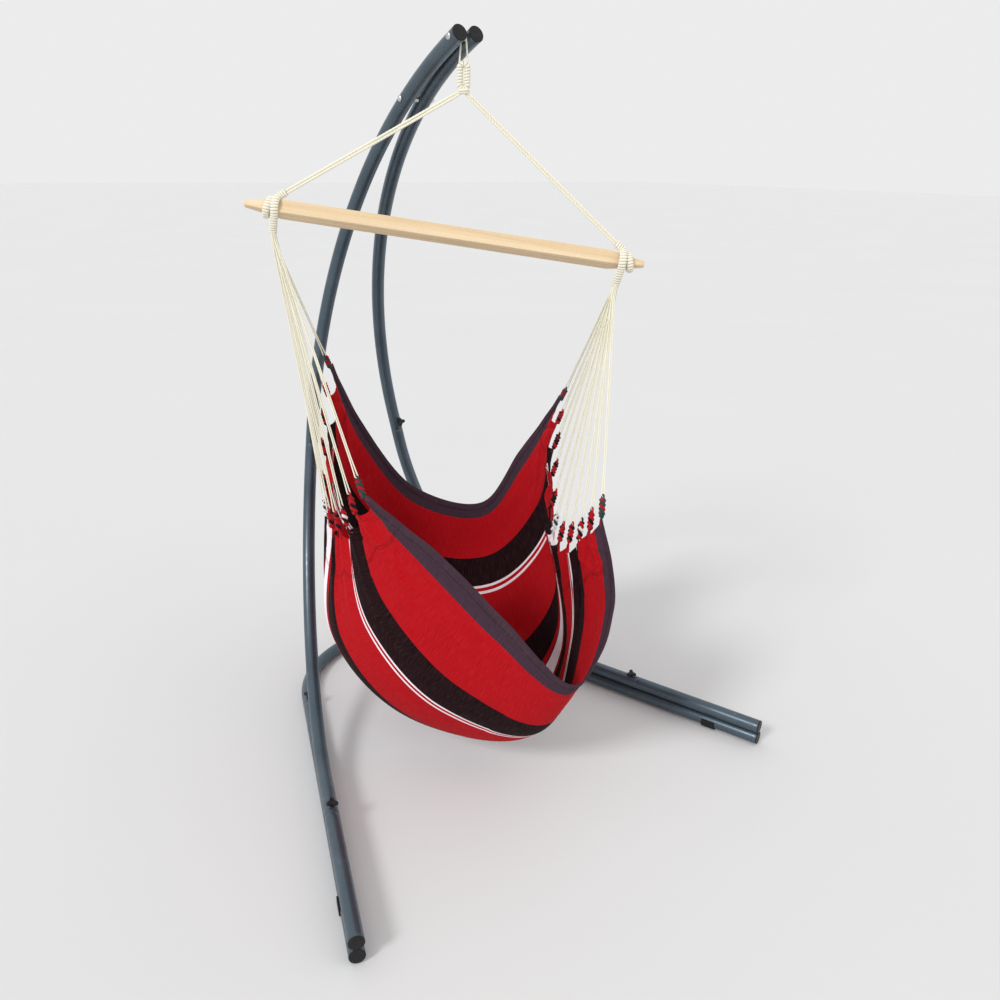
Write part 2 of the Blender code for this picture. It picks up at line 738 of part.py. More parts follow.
def cloth_normal(along, across):
    step = 1e-3
    right = rib_point(along, min(across + step, 1.0)) - rib_point(along, max(across - step, 0.0))
    ahead = rib_point(min(along + step, 1.0), across) - rib_point(max(along - step, 0.0), across)
    return right.cross(ahead).normalized()


def loop_root(cell, hand):
    """The middle of one cell's edge, where a loop leaves the cloth."""
    across = 0.0 if hand < 0 else 1.0
    return (rib_point(cell / CELLS_ALONG, across) + rib_point((cell + 1) / CELLS_ALONG, across)) / 2


def loop_alongs():
    """Where the cloth's cells carry a string loop: evenly spaced from hem to hem."""
    pitch = (CELLS_ALONG - 1) / (LOOPS_PER_SIDE - 1)
    return [round(i * pitch) for i in range(LOOPS_PER_SIDE)]


def seat_cloth(material, parent):
    """The cloth as a thin shell, with a braided loop drawn out of its edge at each string."""
    bm = bmesh.new()
    outside = []
    inside = []
    for j in range(CELLS_ALONG + 1):
        along = j / CELLS_ALONG
        fractions = [i / CELLS_ACROSS for i in range(CELLS_ACROSS + 1)]
        places = [rib_point(along, across) for across in fractions]
        normals = [cloth_normal(along, across) for across in fractions]
        half = CLOTH_THICKNESS / 2
        outside.append([bm.verts.new(p + half * n) for p, n in zip(places, normals)])
        inside.append([bm.verts.new(p - half * n) for p, n in zip(places, normals)])
    for sheet in (outside, inside):
        for j in range(CELLS_ALONG):
            for i in range(CELLS_ACROSS):
                bm.faces.new((sheet[j][i], sheet[j][i + 1], sheet[j + 1][i + 1], sheet[j + 1][i]))
    for j in (0, CELLS_ALONG):
        for i in range(CELLS_ACROSS):
            bm.faces.new((outside[j][i], outside[j][i + 1], inside[j][i + 1], inside[j][i]))
    carries_loop = set(loop_alongs())
    for i, hand in ((0, -1), (CELLS_ACROSS, 1)):
        for j in range(CELLS_ALONG):
            corners = (outside[j][i], outside[j + 1][i], inside[j + 1][i], inside[j][i])
            if j in carries_loop:
                draw_loop(bm, corners, loop_root(j, hand), hand)
            else:
                bm.faces.new(corners)
    finish_object("seat_cloth", bm, material["cloth"], origin=parent.matrix_world.translation, parent=parent)


def draw_loop(bm, corners, root, hand):
    """Draws one edge cell out towards its side's knot as a square braided loop."""
    direction = (knot_place(hand) - root).normalized()
    edge = (corners[1].co + corners[2].co) - (corners[0].co + corners[3].co)
    wide, _ = side_axes(direction, edge)
    thick = direction.cross(wide).normalized()
    if thick.dot(corners[0].co - corners[3].co) < 0:
        thick = -thick
    previous = corners
    for distance in (LOOP_ROOT_LENGTH, LOOP_LENGTH):
        centre = root + distance * direction
        spread = ((-1, 1), (1, 1), (1, -1), (-1, -1))
        ring = [bm.verts.new(centre + LOOP_HALF_SIZE * (w * wide + t * thick)) for w, t in spread]
        bridge(bm, previous, ring)
        previous = ring
    bm.faces.new(previous)


def string_fan(side_name, hand, material, parent):
    """One side's strings, spread from their knot to the loops on the cloth."""
    knot = knot_place(hand)
    origin = parent.matrix_world.translation
    direction = shank_direction(hand)
    steps = [KNOT_RADIUS * math.cos(math.radians(angle)) for angle in (162, 127, 90, 53, 18)]
    profile = [(along, math.sqrt(KNOT_RADIUS ** 2 - along ** 2)) for along in steps]
    body = turned(f"string_fan_{side_name}", material["cord"], knot, direction, profile, 12,
                  origin=origin, parent=parent)
    for number, cell in enumerate(loop_alongs()):
        root = loop_root(cell, hand)
        towards = (knot - root).normalized()
        start = root + (LOOP_LENGTH + ROPE_CLEARANCE) * towards
        name = f"strand_{side_name}_{number}"
        strand = solid_rod(name, material["cord"], start, knot, STRING_RADIUS, 6, parent)
        strand.hide_render = True
        strand.display_type = "WIRE"
        modifier = body.modifiers.new(strand.name, "BOOLEAN")
        modifier.operation = "UNION"
        modifier.solver = "EXACT"
        modifier.object = strand


# ---------------------------------------------------------------- assembly
SIDES = (("left", -1), ("right", 1))
HANGER = ARM.at(ARM.length - HANGER_BOLT_SETBACK)[0]


def main():
    clear_scene()
    material = make_materials()
    arms = []
    bases = []
    for side_name, hand in SIDES:
        upper, base = make_side(side_name, hand, material)
        arms.append(upper)
        bases.append(base)
        floor_clip(f"floor_clip_{side_name}", BASE, CLIP_SETBACK, hand, material)
    make_rear_bend(material, bases)
    floor_clip("floor_clip_rear", BASE, BASE_RUN + REAR_BEND_RADIUS * (math.pi / 2 - LEG_ANGLE), 1, material)
    make_knobs(material)
    cross_bolt("hanger", HANGER_BOLT_SETBACK, material, arms)
    cross_bolt("tie", TIE_BOLT_SETBACK, material, arms)

    swing = pivot("swing_pivot", (0.0, HANGER.y, HANGER.z))
    hanging_cord(material, swing)
    twist = pivot("twist_pivot", chair_point(0.0, 0.0, EYE_BOTTOM + EYE_HEIGHT - EYE_TUBE_RADIUS))
    wrapped_eye(material, twist)
    tilt = pivot("tilt_pivot", chair_point(0.0, 0.0, EYE_BOTTOM + EYE_TUBE_RADIUS + EYE_HALF_WIDTH))
    spreader_bar(material, tilt)
    seat = pivot("seat_pivot", chair_point(*BAR_CENTRE))
    for side_name, hand in SIDES:
        end_ring(side_name, hand, material, tilt)
        rope(side_name, hand, material, tilt)
        shank(side_name, hand, material, seat)
        string_fan(side_name, hand, material, seat)
    seat_cloth(material, seat)


main()
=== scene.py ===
"""Looks of the hanging chair on its tube stand: powder-coated tubes, bound cotton rope, beech, striped cloth.

All sizes are in metres, in the frame of the CAD model: +Z up, the stand mirror-symmetric about X = 0.
The chair hangs turned about the vertical: `ACROSS` runs along the spreader bar and `AHEAD` is where a
sitter looks.
"""

import math

import bmesh
import bpy
import numpy as np
from mathutils import Matrix, Vector, noise


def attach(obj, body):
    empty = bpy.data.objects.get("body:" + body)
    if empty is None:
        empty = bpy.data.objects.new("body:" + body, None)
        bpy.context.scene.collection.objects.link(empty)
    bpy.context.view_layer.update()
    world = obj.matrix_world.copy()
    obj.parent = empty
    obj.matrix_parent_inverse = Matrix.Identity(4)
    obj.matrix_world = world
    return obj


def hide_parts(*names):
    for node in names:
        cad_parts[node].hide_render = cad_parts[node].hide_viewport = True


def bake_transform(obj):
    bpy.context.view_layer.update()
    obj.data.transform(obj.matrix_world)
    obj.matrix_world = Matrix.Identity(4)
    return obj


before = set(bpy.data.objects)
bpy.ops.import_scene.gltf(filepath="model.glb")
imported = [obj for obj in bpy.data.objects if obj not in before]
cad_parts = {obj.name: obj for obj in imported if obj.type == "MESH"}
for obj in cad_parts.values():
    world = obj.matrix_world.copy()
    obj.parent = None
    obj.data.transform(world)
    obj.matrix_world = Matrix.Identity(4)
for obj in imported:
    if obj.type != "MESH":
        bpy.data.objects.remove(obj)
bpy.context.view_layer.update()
SIDES = (("left", -1), ("right", 1))

# ---- tubes of the stand ----
TUBE_RADIUS = 0.021
TUBE_WALL = 0.0018
TUBE_SIDES = 44
TUBE_STEP = 0.012
TUBE_LIP = 0.0007
SPIGOT_RADIUS = 0.0189
SPIGOT_LENGTH = 0.050
SWAGE_TAPER = 0.010
SWAGE_SHOULDER = ((0.0012, 0.25), (0.0030, 0.75), (0.0046, 1.0))
FIT_GAP = 0.0003
LEG_ANGLE = math.radians(18.9)
BASE_HEIGHT = 0.0235
LEG_HEIGHT = BASE_HEIGHT + 2 * TUBE_RADIUS + FIT_GAP
FOOT_Y = -0.683
LEG_LENGTH = 0.438
LOWER_STRAIGHT = 0.141
LOWER_BEND_RADIUS = 0.878
LOWER_BEND = math.radians(81.2)
ARM_LEAN = math.radians(7.2)
MID_STRAIGHT = 0.100
MID_SEAM_SETBACK = 0.062
ARM_ROLL = math.radians(-14.6)
UPPER_BEND_RADIUS = 1.14
UPPER_BEND = math.radians(73.0)
TIP_STRAIGHT = 0.046
TIP_SPACING = 0.050
REAR_BEND_RADIUS = 0.395
REAR_SOCKET_LENGTH = 0.056

# ---- fittings ----
CAP_FLANGE = 0.003
CAP_PLUG_LENGTH = 0.010
CAP_EASE = 0.0012
CLIP_EASE = 0.0009
KNOB_SETBACK = 0.028
STUD_RADIUS = 0.003
STUD_REACH = 0.009
KNOB_RADIUS = 0.0125
KNOB_LOBE = 0.0048
KNOB_HEIGHT = 0.0135
KNOB_SIDES = 60
KNOB_LOBES = 3
BOLT_RADIUS = 0.004
BOLT_HEAD_RADIUS = 0.009
BOLT_HEAD_HEIGHT = 0.005
BOLT_TAIL = 0.004
BOLT_CHAMFER = 0.0006
NUT_CLEARANCE = 0.0008
NUT_CORNER = 0.0009
NUT_RADIUS = 0.0075
NUT_HEIGHT = 0.0065
SPACER_RADIUS = 0.008
HANGER_BOLT_SETBACK = 0.020
TIE_BOLT_SETBACK = 0.296

# ---- suspension ----
CHAIR_TURN = math.radians(-36.9)
ACROSS = np.array([math.cos(CHAIR_TURN), math.sin(CHAIR_TURN), 0.0])
AHEAD = np.array([math.sin(CHAIR_TURN), -math.cos(CHAIR_TURN), 0.0])
UP = np.array([0.0, 0.0, 1.0])
RIGHT = np.array([1.0, 0.0, 0.0])
CORD_RADIUS = 0.0024
CORD_LAY = 0.016
CORD_SLACK = 0.0005
CORD_TUCK = 0.010
EYE_BOTTOM = 1.948
EYE_HEIGHT = 0.074
EYE_TUBE_RADIUS = 0.0086
EYE_HALF_WIDTH = 0.0096
NECK_HALF_WIDTH = 0.0165
NECK_HALF_DEPTH = 0.0105
NECK_HEIGHT = 0.014
NECK_DROP = 0.004
ROPE_STRAND_RADIUS = 0.0034
ROPE_LAY = 0.030
ROPE_SPACING = 1.04
ROPE_JOIN = 0.030
BINDING_PITCH = 0.0072
BINDING_DEPTH = 0.0028
BINDING_SIDES = 26
BAR_LENGTH = 1.100
BAR_HALF_SIZE = 0.0195
BAR_TIP_HALF_SIZE = 0.0085
BAR_TAPER = 0.100
BAR_TIP_EASE = 0.004
BAR_EASE = 0.0022
BAR_ROLL = math.radians(57.0)
BAR_TILT = math.radians(-7.5)
BAR_CENTRE = (-0.048, 0.0, 1.594)
RING_SETBACKS = {-1: 0.066, 1: 0.042}
HANG_SETBACK = 0.055
RING_PATH_RADII = {-1: 0.0262, 1: 0.0228}
RING_HALF_WIDTH = 0.0098
RING_HALF_DEPTH = 0.0056
RING_LEAN = math.radians(13.0)
HITCH_OFFSET = 0.021
HITCH_PATH_RADIUS = 0.0290
HITCH_HALF_WIDTH = 0.0112
HITCH_HALF_DEPTH = 0.0068
HITCH_ON_ROPE = 0.030
SHANK_END = 0.069
SHANK_INSET = 0.008
STRING_RADIUS = 0.0019
STRING_SPREAD = 0.0080
HAIRPIN_RADIUS = 0.0044
STRING_TUCK = 0.012
STRING_BUNDLE = 0.022
STRING_LAYER = 0.0036
KNOT_SIZE = 0.0013

# ---- seat cloth: six lines from loop edge to loop edge, each of five (across, ahead, height) points ----
CLOTH_LINES = np.array([
    [(-.450, -.330, 1.158), (-.448, -.189, .950), (-.423, -.019, .745),
     (-.343, .141, .770), (-.253, .266, .925)],
    [(-.350, -.390, .915), (-.420, -.250, .660), (-.420, .060, .400),
     (-.260, .250, .510), (-.050, .345, .795)],
    [(-.200, -.430, .700), (-.210, -.330, .390), (-.200, .100, .150),
     (-.050, .322, .295), (.135, .413, .630)],
    [(.040, -.448, .635), (.080, -.330, .370), (.140, .130, .130),
     (.238, .310, .200), (.325, .459, .463)],
    [(.174, -.410, .845), (.260, -.250, .600), (.310, .040, .340),
     (.340, .180, .440), (.429, .360, .650)],
    [(.304, -.330, 1.064), (.277, -.189, .890), (.277, -.019, .710),
     (.332, .141, .745), (.396, .270, .880)],
])
FLAT_ACROSS = 1.55
FLAT_ALONG = 1.20
CLOTH_THICKNESS = 0.0014
CLOTH_ROWS = 300
CLOTH_COLUMNS = 200
CELLS_ALONG = 31
LOOPS_PER_SIDE = 11
LOOP_PITCH = 3 / CELLS_ALONG
FIRST_LOOP = 0.5 / CELLS_ALONG
LOOP_LENGTH = 0.066
SCALLOP_DEPTH = 0.029
HEM_WIDTH = 0.024
HEM_HALF_THICKNESS = 0.0019
HEM_COLUMNS = 240
PUCKER_DEPTH = 0.25
PUCKER_WAVES = 260
BAND_WIDTH = 0.112
BAND_STITCH_GAP = 0.007
HEM_STITCH_SHARE = 0.82
STITCH_LENGTH = 0.0042
STITCH_PITCH = 0.0062
STITCH_RADIUS = 0.00055


def unit(vector):
    return vector / np.linalg.norm(vector, axis=-1, keepdims=True)


def round_angles(sides):
    return 2 * math.pi * np.arange(sides) / sides


def linked(name, data):
    """A new object, put in the scene."""
    made = bpy.data.objects.new(name, data)
    bpy.context.scene.collection.objects.link(made)
    return made


# ---------------------------------------------------------------- materials
def srgb(red, green, blue):
    """A linear colour from its 0 to 255 display values."""
    shares = [value / 255 for value in (red, green, blue)]
    return (*[s / 12.92 if s <= 0.04045 else ((s + 0.055) / 1.055) ** 2.4 for s in shares], 1.0)


class Look:
    """A material and the nodes that feed its shader."""

    def __init__(self, name, **constants):
        self.material = bpy.data.materials.new(name)
        self.material.use_nodes = True
        self.tree = self.material.node_tree
        self.shader = self.tree.nodes["Principled BSDF"]
        for socket, value in constants.items():
            self.shader.inputs[socket.replace("_", " ")].default_value = value

    def node(self, kind, inputs=(), **settings):
        made = self.tree.nodes.new("ShaderNode" + kind)
        for key, value in settings.items():
            setattr(made, key, value)
        for key, value in dict(inputs).items():
            if isinstance(value, bpy.types.NodeSocket):
                self.tree.links.new(value, made.inputs[key])
            else:
                made.inputs[key].default_value = value
        return made

    def place(self, scale=(1, 1, 1), coordinates="Object"):
        """The surface's own coordinates in metres, stretched by `scale`."""
        source = self.node("TexCoord").outputs[coordinates]
        return self.node("Mapping", {"Vector": source, "Scale": scale}).outputs[0]

    def noise(self, vector, scale, detail=3.0, distortion=0.0):
        inputs = {"Vector": vector, "Scale": scale, "Detail": detail, "Distortion": distortion}
        return self.node("TexNoise", inputs).outputs["Fac"]

    def wave(self, vector, scale, distortion=0.0, direction="X"):
        inputs = {"Vector": vector, "Scale": scale, "Distortion": distortion, "Detail": 1.0}
        return self.node("TexWave", inputs, bands_direction=direction).outputs["Fac"]

    def math(self, operation, first, second=0.0):
        return self.node("Math", {0: first, 1: second}, operation=operation).outputs[0]

    def ramp(self, factor, stops, interpolation="LINEAR"):
        made = self.node("ValToRGB", {"Fac": factor})
        band = made.color_ramp
        band.interpolation = interpolation
        while len(band.elements) < len(stops):
            band.elements.new(1.0)
        for element, (place, colour) in zip(band.elements, stops):
            element.position = place
            element.color = colour
        return made.outputs[0]

    def range(self, factor, low, high, new_low, new_high):
        inputs = {"Value": factor, 1: low, 2: high, 3: new_low, 4: new_high}
        return self.node("MapRange", inputs).outputs[0]

    def mix(self, factor, first, second, blend="MIX"):
        made = self.node("Mix", {0: factor, 6: first, 7: second}, data_type="RGBA", blend_type=blend)
        return made.outputs[2]

    def set(self, socket, value):
        self.tree.links.new(value, self.shader.inputs[socket])

    def bump(self, *layers):
        """Each layer is (height, distance in metres, strength); later layers lie on the earlier ones."""
        normal = None
        for height, distance, strength in layers:
            inputs = {"Height": height, "Distance": distance, "Strength": strength}
            if normal is not None:
                inputs["Normal"] = normal
            normal = self.node("Bump", inputs).outputs[0]
        self.set("Normal", normal)


def powder_coat():
    look = Look("blue_grey_powder_coat", Metallic=0.55, Coat_Weight=0.25, Coat_Roughness=0.22)
    place = look.place()
    cloudy = look.noise(place, 9, 4)
    flake = look.noise(place, 2600, 1)
    base = look.ramp(cloudy, ((0.3, srgb(62, 77, 88)), (0.7, srgb(76, 91, 102))))
    sparkle = look.ramp(flake, ((0.56, srgb(0, 0, 0)), (0.72, srgb(120, 135, 145))))
    rubbed = look.range(look.noise(place, 38, 8, 1.2), 0.66, 0.74, 0.0, 0.35)
    look.set("Base Color", look.mix(rubbed, look.mix(0.35, base, sparkle, "SCREEN"), srgb(128, 138, 145)))
    look.set("Roughness", look.range(look.noise(place, 60, 5), 0.3, 0.7, 0.30, 0.44))
    look.bump((look.noise(place, 900, 2), 0.00012, 0.35))
    return look.material


def moulded_plastic():
    look = Look("black_moulded_plastic", Specular_IOR_Level=0.3)
    place = look.place()
    worn = look.noise(place, 140, 6)
    look.set("Base Color", look.ramp(worn, ((0.35, srgb(14, 14, 16)), (0.75, srgb(30, 29, 32)))))
    look.set("Roughness", look.range(look.noise(place, 220, 4), 0.3, 0.7, 0.38, 0.6))
    look.bump((look.noise(place, 1600, 2), 0.0002, 0.3))
    return look.material


def bright_zinc():
    look = Look("bright_zinc", Metallic=1.0)
    place = look.place()
    clouded = look.noise(place, 160, 5)
    look.set("Base Color", look.ramp(clouded, ((0.3, srgb(178, 180, 178)), (0.7, srgb(222, 222, 216)))))
    look.set("Roughness", look.range(look.noise(place, 400, 3), 0.3, 0.7, 0.16, 0.36))
    look.bump((look.noise(look.place((1, 9, 9)), 500, 2), 0.0001, 0.25))
    return look.material


def spun_cotton(name, light, shade, ply=0.0042, sheen=0.25, bound=False):
    """Twisted cotton; the UV runs along the cord in X and round it in Y, both in metres.

    On a bound piece Y counts the turns, each BINDING_PITCH wide, and the gaps between turns get painted
    shade.
    """
    look = Look(name, Roughness=0.9, Sheen_Weight=sheen, Sheen_Roughness=0.5, Specular_IOR_Level=0.2)
    along = look.place((1 / ply, 1 / ply, 1.0), "UV")
    slanted = look.node("Mapping", {"Vector": along, "Rotation": (0.0, 0.0, math.radians(38))}).outputs[0]
    plies = look.wave(slanted, 0.314, 0.6)
    fibres = look.noise(look.place((1500, 5200, 1.0), "UV"), 1.0, 3)
    soiling = look.noise(look.place(), 26, 4)
    # painted shade: the grooves between the twisted plies take the darker shade colour, the ply crowns the
    # light one
    colour = look.ramp(plies, ((0.1, shade), (0.6, light)))
    colour = look.mix(look.range(fibres, 0.3, 0.75, 0.0, 0.35), colour, shade)
    if bound:
        # painted shade: the colour darkens to a tan grey in the gaps between the binding turns
        turn = look.node("SeparateXYZ", {0: look.place((1, 1 / BINDING_PITCH, 1), "UV")}).outputs[1]
        from_gap = look.math("PINGPONG", turn, 0.5)
        colour = look.mix(look.range(from_gap, 0.02, 0.15, 0.85, 0.0), colour, srgb(140, 130, 104))
    look.set("Base Color", look.mix(look.range(soiling, 0.45, 0.8, 0.0, 0.25), colour, shade))
    look.bump((plies, 0.0005, 0.8), (fibres, 0.0002, 0.5))
    return look.material


def beech():
    """Pale beech with its grain along the bar's own X and the short dark flecks that beech has."""
    look = Look("oiled_beech", Coat_Weight=0.06, Coat_Roughness=0.4, Specular_IOR_Level=0.35)
    grain = look.noise(look.place((2.0, 70, 70)), 1.0, 5, 0.6)
    rings = look.wave(look.place((0.5, 26, 34)), 1.0, 3.5, "Y")
    flecks = look.noise(look.place((130, 1500, 1500)), 1.0, 2)
    tones = ((0.25, srgb(214, 188, 148)), (0.55, srgb(230, 208, 172)), (0.8, srgb(238, 220, 188)))
    base = look.ramp(grain, tones)
    base = look.mix(look.range(rings, 0.2, 0.9, 0.0, 0.22), base, srgb(200, 160, 112))
    base = look.mix(look.range(flecks, 0.62, 0.70, 0.0, 0.45), base, srgb(150, 108, 70))
    look.set("Base Color", base)
    look.set("Roughness", look.range(grain, 0.2, 0.8, 0.42, 0.62))
    look.bump((grain, 0.0004, 0.25), (flecks, 0.0002, 0.4))
    return look.material


RED = srgb(180, 7, 21)
BLACK = srgb(17, 4, 9)
WHITE = srgb(248, 238, 244)
HEM_GREY = srgb(62, 47, 60)
# Stripes from the middle of the cloth out to a hem, as shares of half the cloth's width.
STRIPES = (
    (0.0, WHITE), (0.052, BLACK), (0.060, RED), (0.092, BLACK), (0.226, RED), (0.458, WHITE), (0.471, RED),
    (0.485, WHITE), (0.500, BLACK), (0.653, RED), (0.908, HEM_GREY),
)


def woven_cotton(name, hem_only=False):
    """Rep-woven stripes; the UV runs from hem to hem in X and from loop to loop in Y, both in metres."""
    look = Look(name, Sheen_Weight=0.02, Sheen_Roughness=0.5, Specular_IOR_Level=0.06)
    place = look.place((1, 1, 1), "UV")
    from_hem = look.node("SeparateXYZ", {0: place}).outputs[0]
    uneven = look.range(look.noise(look.place((30, 6, 1), "UV"), 1.0, 2), 0.0, 1.0, -0.0011, 0.0011)
    half = FLAT_ALONG / 2
    stripe = look.math("ABSOLUTE", look.math("SUBTRACT", look.math("ADD", from_hem, uneven), half))
    stripes = look.ramp(look.math("DIVIDE", stripe, half), STRIPES, "CONSTANT")
    if hem_only:
        faded = look.noise(look.place((40, 6, 1), "UV"), 1.0, 2)
        stripes = look.mix(faded, srgb(50, 37, 48), srgb(72, 56, 68))
    yarn = look.noise(look.place((900, 14, 1), "UV"), 1.0, 3)
    pick = look.noise(look.place((30, 1100, 1), "UV"), 1.0, 2)
    worn = look.noise(look.place(), 7, 4)
    darker = look.mix(0.5, stripes, srgb(40, 4, 12), "MULTIPLY")
    lighter = look.mix(0.10, stripes, srgb(255, 170, 170), "SCREEN")
    colour = look.mix(look.range(yarn, 0.30, 0.62, 0.5, 0.0), stripes, darker)
    colour = look.mix(look.range(pick, 0.45, 0.75, 0.0, 0.5), colour, lighter)
    look.set("Base Color", look.mix(look.range(worn, 0.5, 0.8, 0.0, 0.14), colour, darker))
    look.set("Roughness", look.range(yarn, 0.2, 0.8, 0.78, 0.95))
    look.bump((worn, 0.004, 0.15), (yarn, 0.0006, 0.5), (pick, 0.0005, 0.5))
    return look.material


def pale_floor():
    look = Look("pale_floor", Roughness=0.7)
    look.set("Base Color", look.ramp(look.noise(look.place(), 0.6, 3),
                                     ((0.3, srgb(216, 216, 217)), (0.7, srgb(218, 218, 218)))))
    return look.material


COAT = powder_coat()
PLASTIC = moulded_plastic()
ZINC = bright_zinc()
# Each cotton gets a light colour for its ply crowns and a darker one. The darker one is painted shade in the
# grooves between plies, and it also colours the darker fibres and the soiling.
COTTON = spun_cotton("ivory_cotton", srgb(250, 247, 230), srgb(226, 220, 196))
BOUND_COTTON = spun_cotton("bound_ivory_cotton", srgb(252, 249, 234), srgb(228, 222, 200), bound=True)
STRING_COTTON = spun_cotton("ivory_string", srgb(250, 247, 230), srgb(230, 224, 200), 0.0026)
YARN = {
    "red": spun_cotton("red_yarn", srgb(206, 16, 32), srgb(130, 4, 16), 0.003, 0.08),
    "black": spun_cotton("black_yarn", srgb(30, 16, 21), srgb(9, 4, 7), 0.003, 0.06),
    "white": spun_cotton("white_yarn", srgb(248, 244, 244), srgb(206, 196, 202), 0.003),
    "green": spun_cotton("green_yarn", srgb(50, 84, 82), srgb(24, 44, 44), 0.003, 0.08),
}
YARN_ORDER = list(YARN)
BEECH = beech()
CLOTH = woven_cotton("striped_cotton")
HEM_CLOTH = woven_cotton("hem_cotton", hem_only=True)
THREAD = spun_cotton("sewing_thread", srgb(64, 6, 14), srgb(30, 4, 9), 0.001, 0.03)


# ---------------------------------------------------------------- mesh building
class Shape:
    """Grids of quads gathered into one mesh; every corner carries a UV in metres."""

    def __init__(self):
        self.points = []
        self.faces = []
        self.uvs = []
        self.looks = []
        self.count = 0

    def grid(self, points, uv, around=False, closed=False, ends=False, look=0):
        """Adds rows by columns of points; `uv` has one more row if closed, one more column if around."""
        rows, columns = points.shape[:2]
        number = self.count + np.arange(rows * columns).reshape(rows, columns)
        corners = np.concatenate([number, number[:, :1]], 1) if around else number
        if closed:
            corners = np.concatenate([corners, corners[:1]], 0)
        for table, store in ((corners, self.faces), (uv, self.uvs)):
            quads = np.stack([table[:-1, :-1], table[:-1, 1:], table[1:, 1:], table[1:, :-1]], 2)
            store.extend(quads.reshape(-1, *quads.shape[2:]).tolist())
        if ends:
            for row in (number[0], number[-1]):
                self.faces.append(row.tolist())
                self.uvs.append([(0.0, 0.0)] * columns)
        self.points.append(points.reshape(-1, 3))
        self.count += rows * columns
        self.looks += [look] * (len(self.faces) - len(self.looks))

    def build(self, name, looks, smooth_angle=50.0, place=None):
        mesh = bpy.data.meshes.new(name)
        mesh.from_pydata(np.concatenate(self.points).tolist(), [], self.faces)
        layer = mesh.uv_layers.new(name="UVMap")
        layer.data.foreach_set("uv", [value for face in self.uvs for pair in face for value in pair])
        for look in looks:
            mesh.materials.append(look)
        mesh.polygons.foreach_set("material_index", self.looks)
        bm = bmesh.new()
        bm.from_mesh(mesh)
        bmesh.ops.recalc_face_normals(bm, faces=bm.faces)
        bm.to_mesh(mesh)
        bm.free()
        mesh.shade_smooth()
        mesh.set_sharp_from_angle(angle=math.radians(smooth_angle))
        made = linked(name, mesh)
        if place is not None:
            made.matrix_world = place
        return made


def settle(item, body, slot, *nodes):
    """Puts a finished piece on its body and hides the CAD nodes it stands for; slot is not used."""
    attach(item, body)
    if nodes:
        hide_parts(*nodes)
    return item


def lengths(path):
    steps = np.linalg.norm(np.diff(path, axis=0), axis=1)
    return np.concatenate([[0.0], np.cumsum(steps)])


def resampled(path, step):
    """The same path with evenly spaced points."""
    run = lengths(path)
    at = np.linspace(0.0, run[-1], max(3, int(run[-1] / step) + 2))
    return np.stack([np.interp(at, run, path[:, axis]) for axis in range(3)], 1)


def eased(path, step, passes):
    """The path with evenly spaced points and its corners rounded; the two ends stay."""
    path = resampled(np.array(path), step)
    for _ in range(passes):
        path[1:-1] = (path[:-2] + 2 * path[1:-1] + path[2:]) / 4
    return path


def sweep(path, reference, shape, closed=False):
    """Sections along a path. `shape(s, angle)` gives each point's reach along the two section axes."""
    if closed:
        tangent = np.roll(path, -1, 0) - np.roll(path, 1, 0)
        run = lengths(np.concatenate([path, path[:1]]))
    else:
        tangent = np.gradient(path, axis=0)
        run = lengths(path)
    tangent = unit(tangent)
    first = unit(reference - (tangent @ reference)[:, None] * tangent)
    second = np.cross(tangent, first)
    wide, deep, angles = shape(run[:len(path), None])
    points = path[:, None] + wide[..., None] * first[:, None] + deep[..., None] * second[:, None]
    return points, run, angles


def section_uv(run, angles, radius):
    turn = np.concatenate([angles[0], [2 * math.pi]]) * radius
    along, round_it = np.meshgrid(run, turn, indexing="ij")
    return np.stack([along, round_it], 2)


def cord_tube(shape, path, reference, radius, sides=10, lay=0.0, look=0, closed=False):
    """A cord along a path; with a lay it is three strands twisted together."""
    angles = round_angles(sides)

    def section(run):
        reach = np.full((len(run), sides), radius)
        if lay:
            reach = radius * (0.87 + 0.13 * np.abs(np.cos(1.5 * (angles - 2 * math.pi * run / lay))))
        return reach * np.cos(angles), reach * np.sin(angles), angles[None]

    points, run, angles_row = sweep(path, reference, section, closed)
    shape.grid(points, section_uv(run, angles_row, radius), True, closed, not closed, look)


def bound_tube(shape, path, reference, half_width, half_depth, closed=False):
    """Rope bound with turn after turn of cord: a ribbed skin whose ribs climb like a screw."""
    angles = round_angles(BINDING_SIDES)
    total = lengths(np.concatenate([path, path[:1]]) if closed else path)[-1]
    pitch = total / round(total / BINDING_PITCH)

    def section(run):
        across_turn = 2 * np.mod(run / pitch - angles / (2 * math.pi), 1.0) - 1
        rib = BINDING_DEPTH * (np.sqrt(1 - (0.96 * across_turn) ** 2) - 1)
        if not closed:
            near_end = np.clip(np.minimum(run, total - run) / BINDING_PITCH, 0.0, 1.0)
            rib = rib - 0.35 * half_depth * (1 - np.sqrt(1 - (1 - near_end) ** 2))
        return (half_width + rib) * np.cos(angles), (half_depth + rib) * np.sin(angles), angles[None]

    points, run, angles_row = sweep(path, reference, section, closed)
    uv = section_uv(run, angles_row, half_width)[..., ::-1]
    turn_share = np.arange(BINDING_SIDES + 1) / BINDING_SIDES
    uv[..., 1] = (run[:, None] / pitch - turn_share) * BINDING_PITCH
    shape.grid(points, uv, True, closed, not closed)


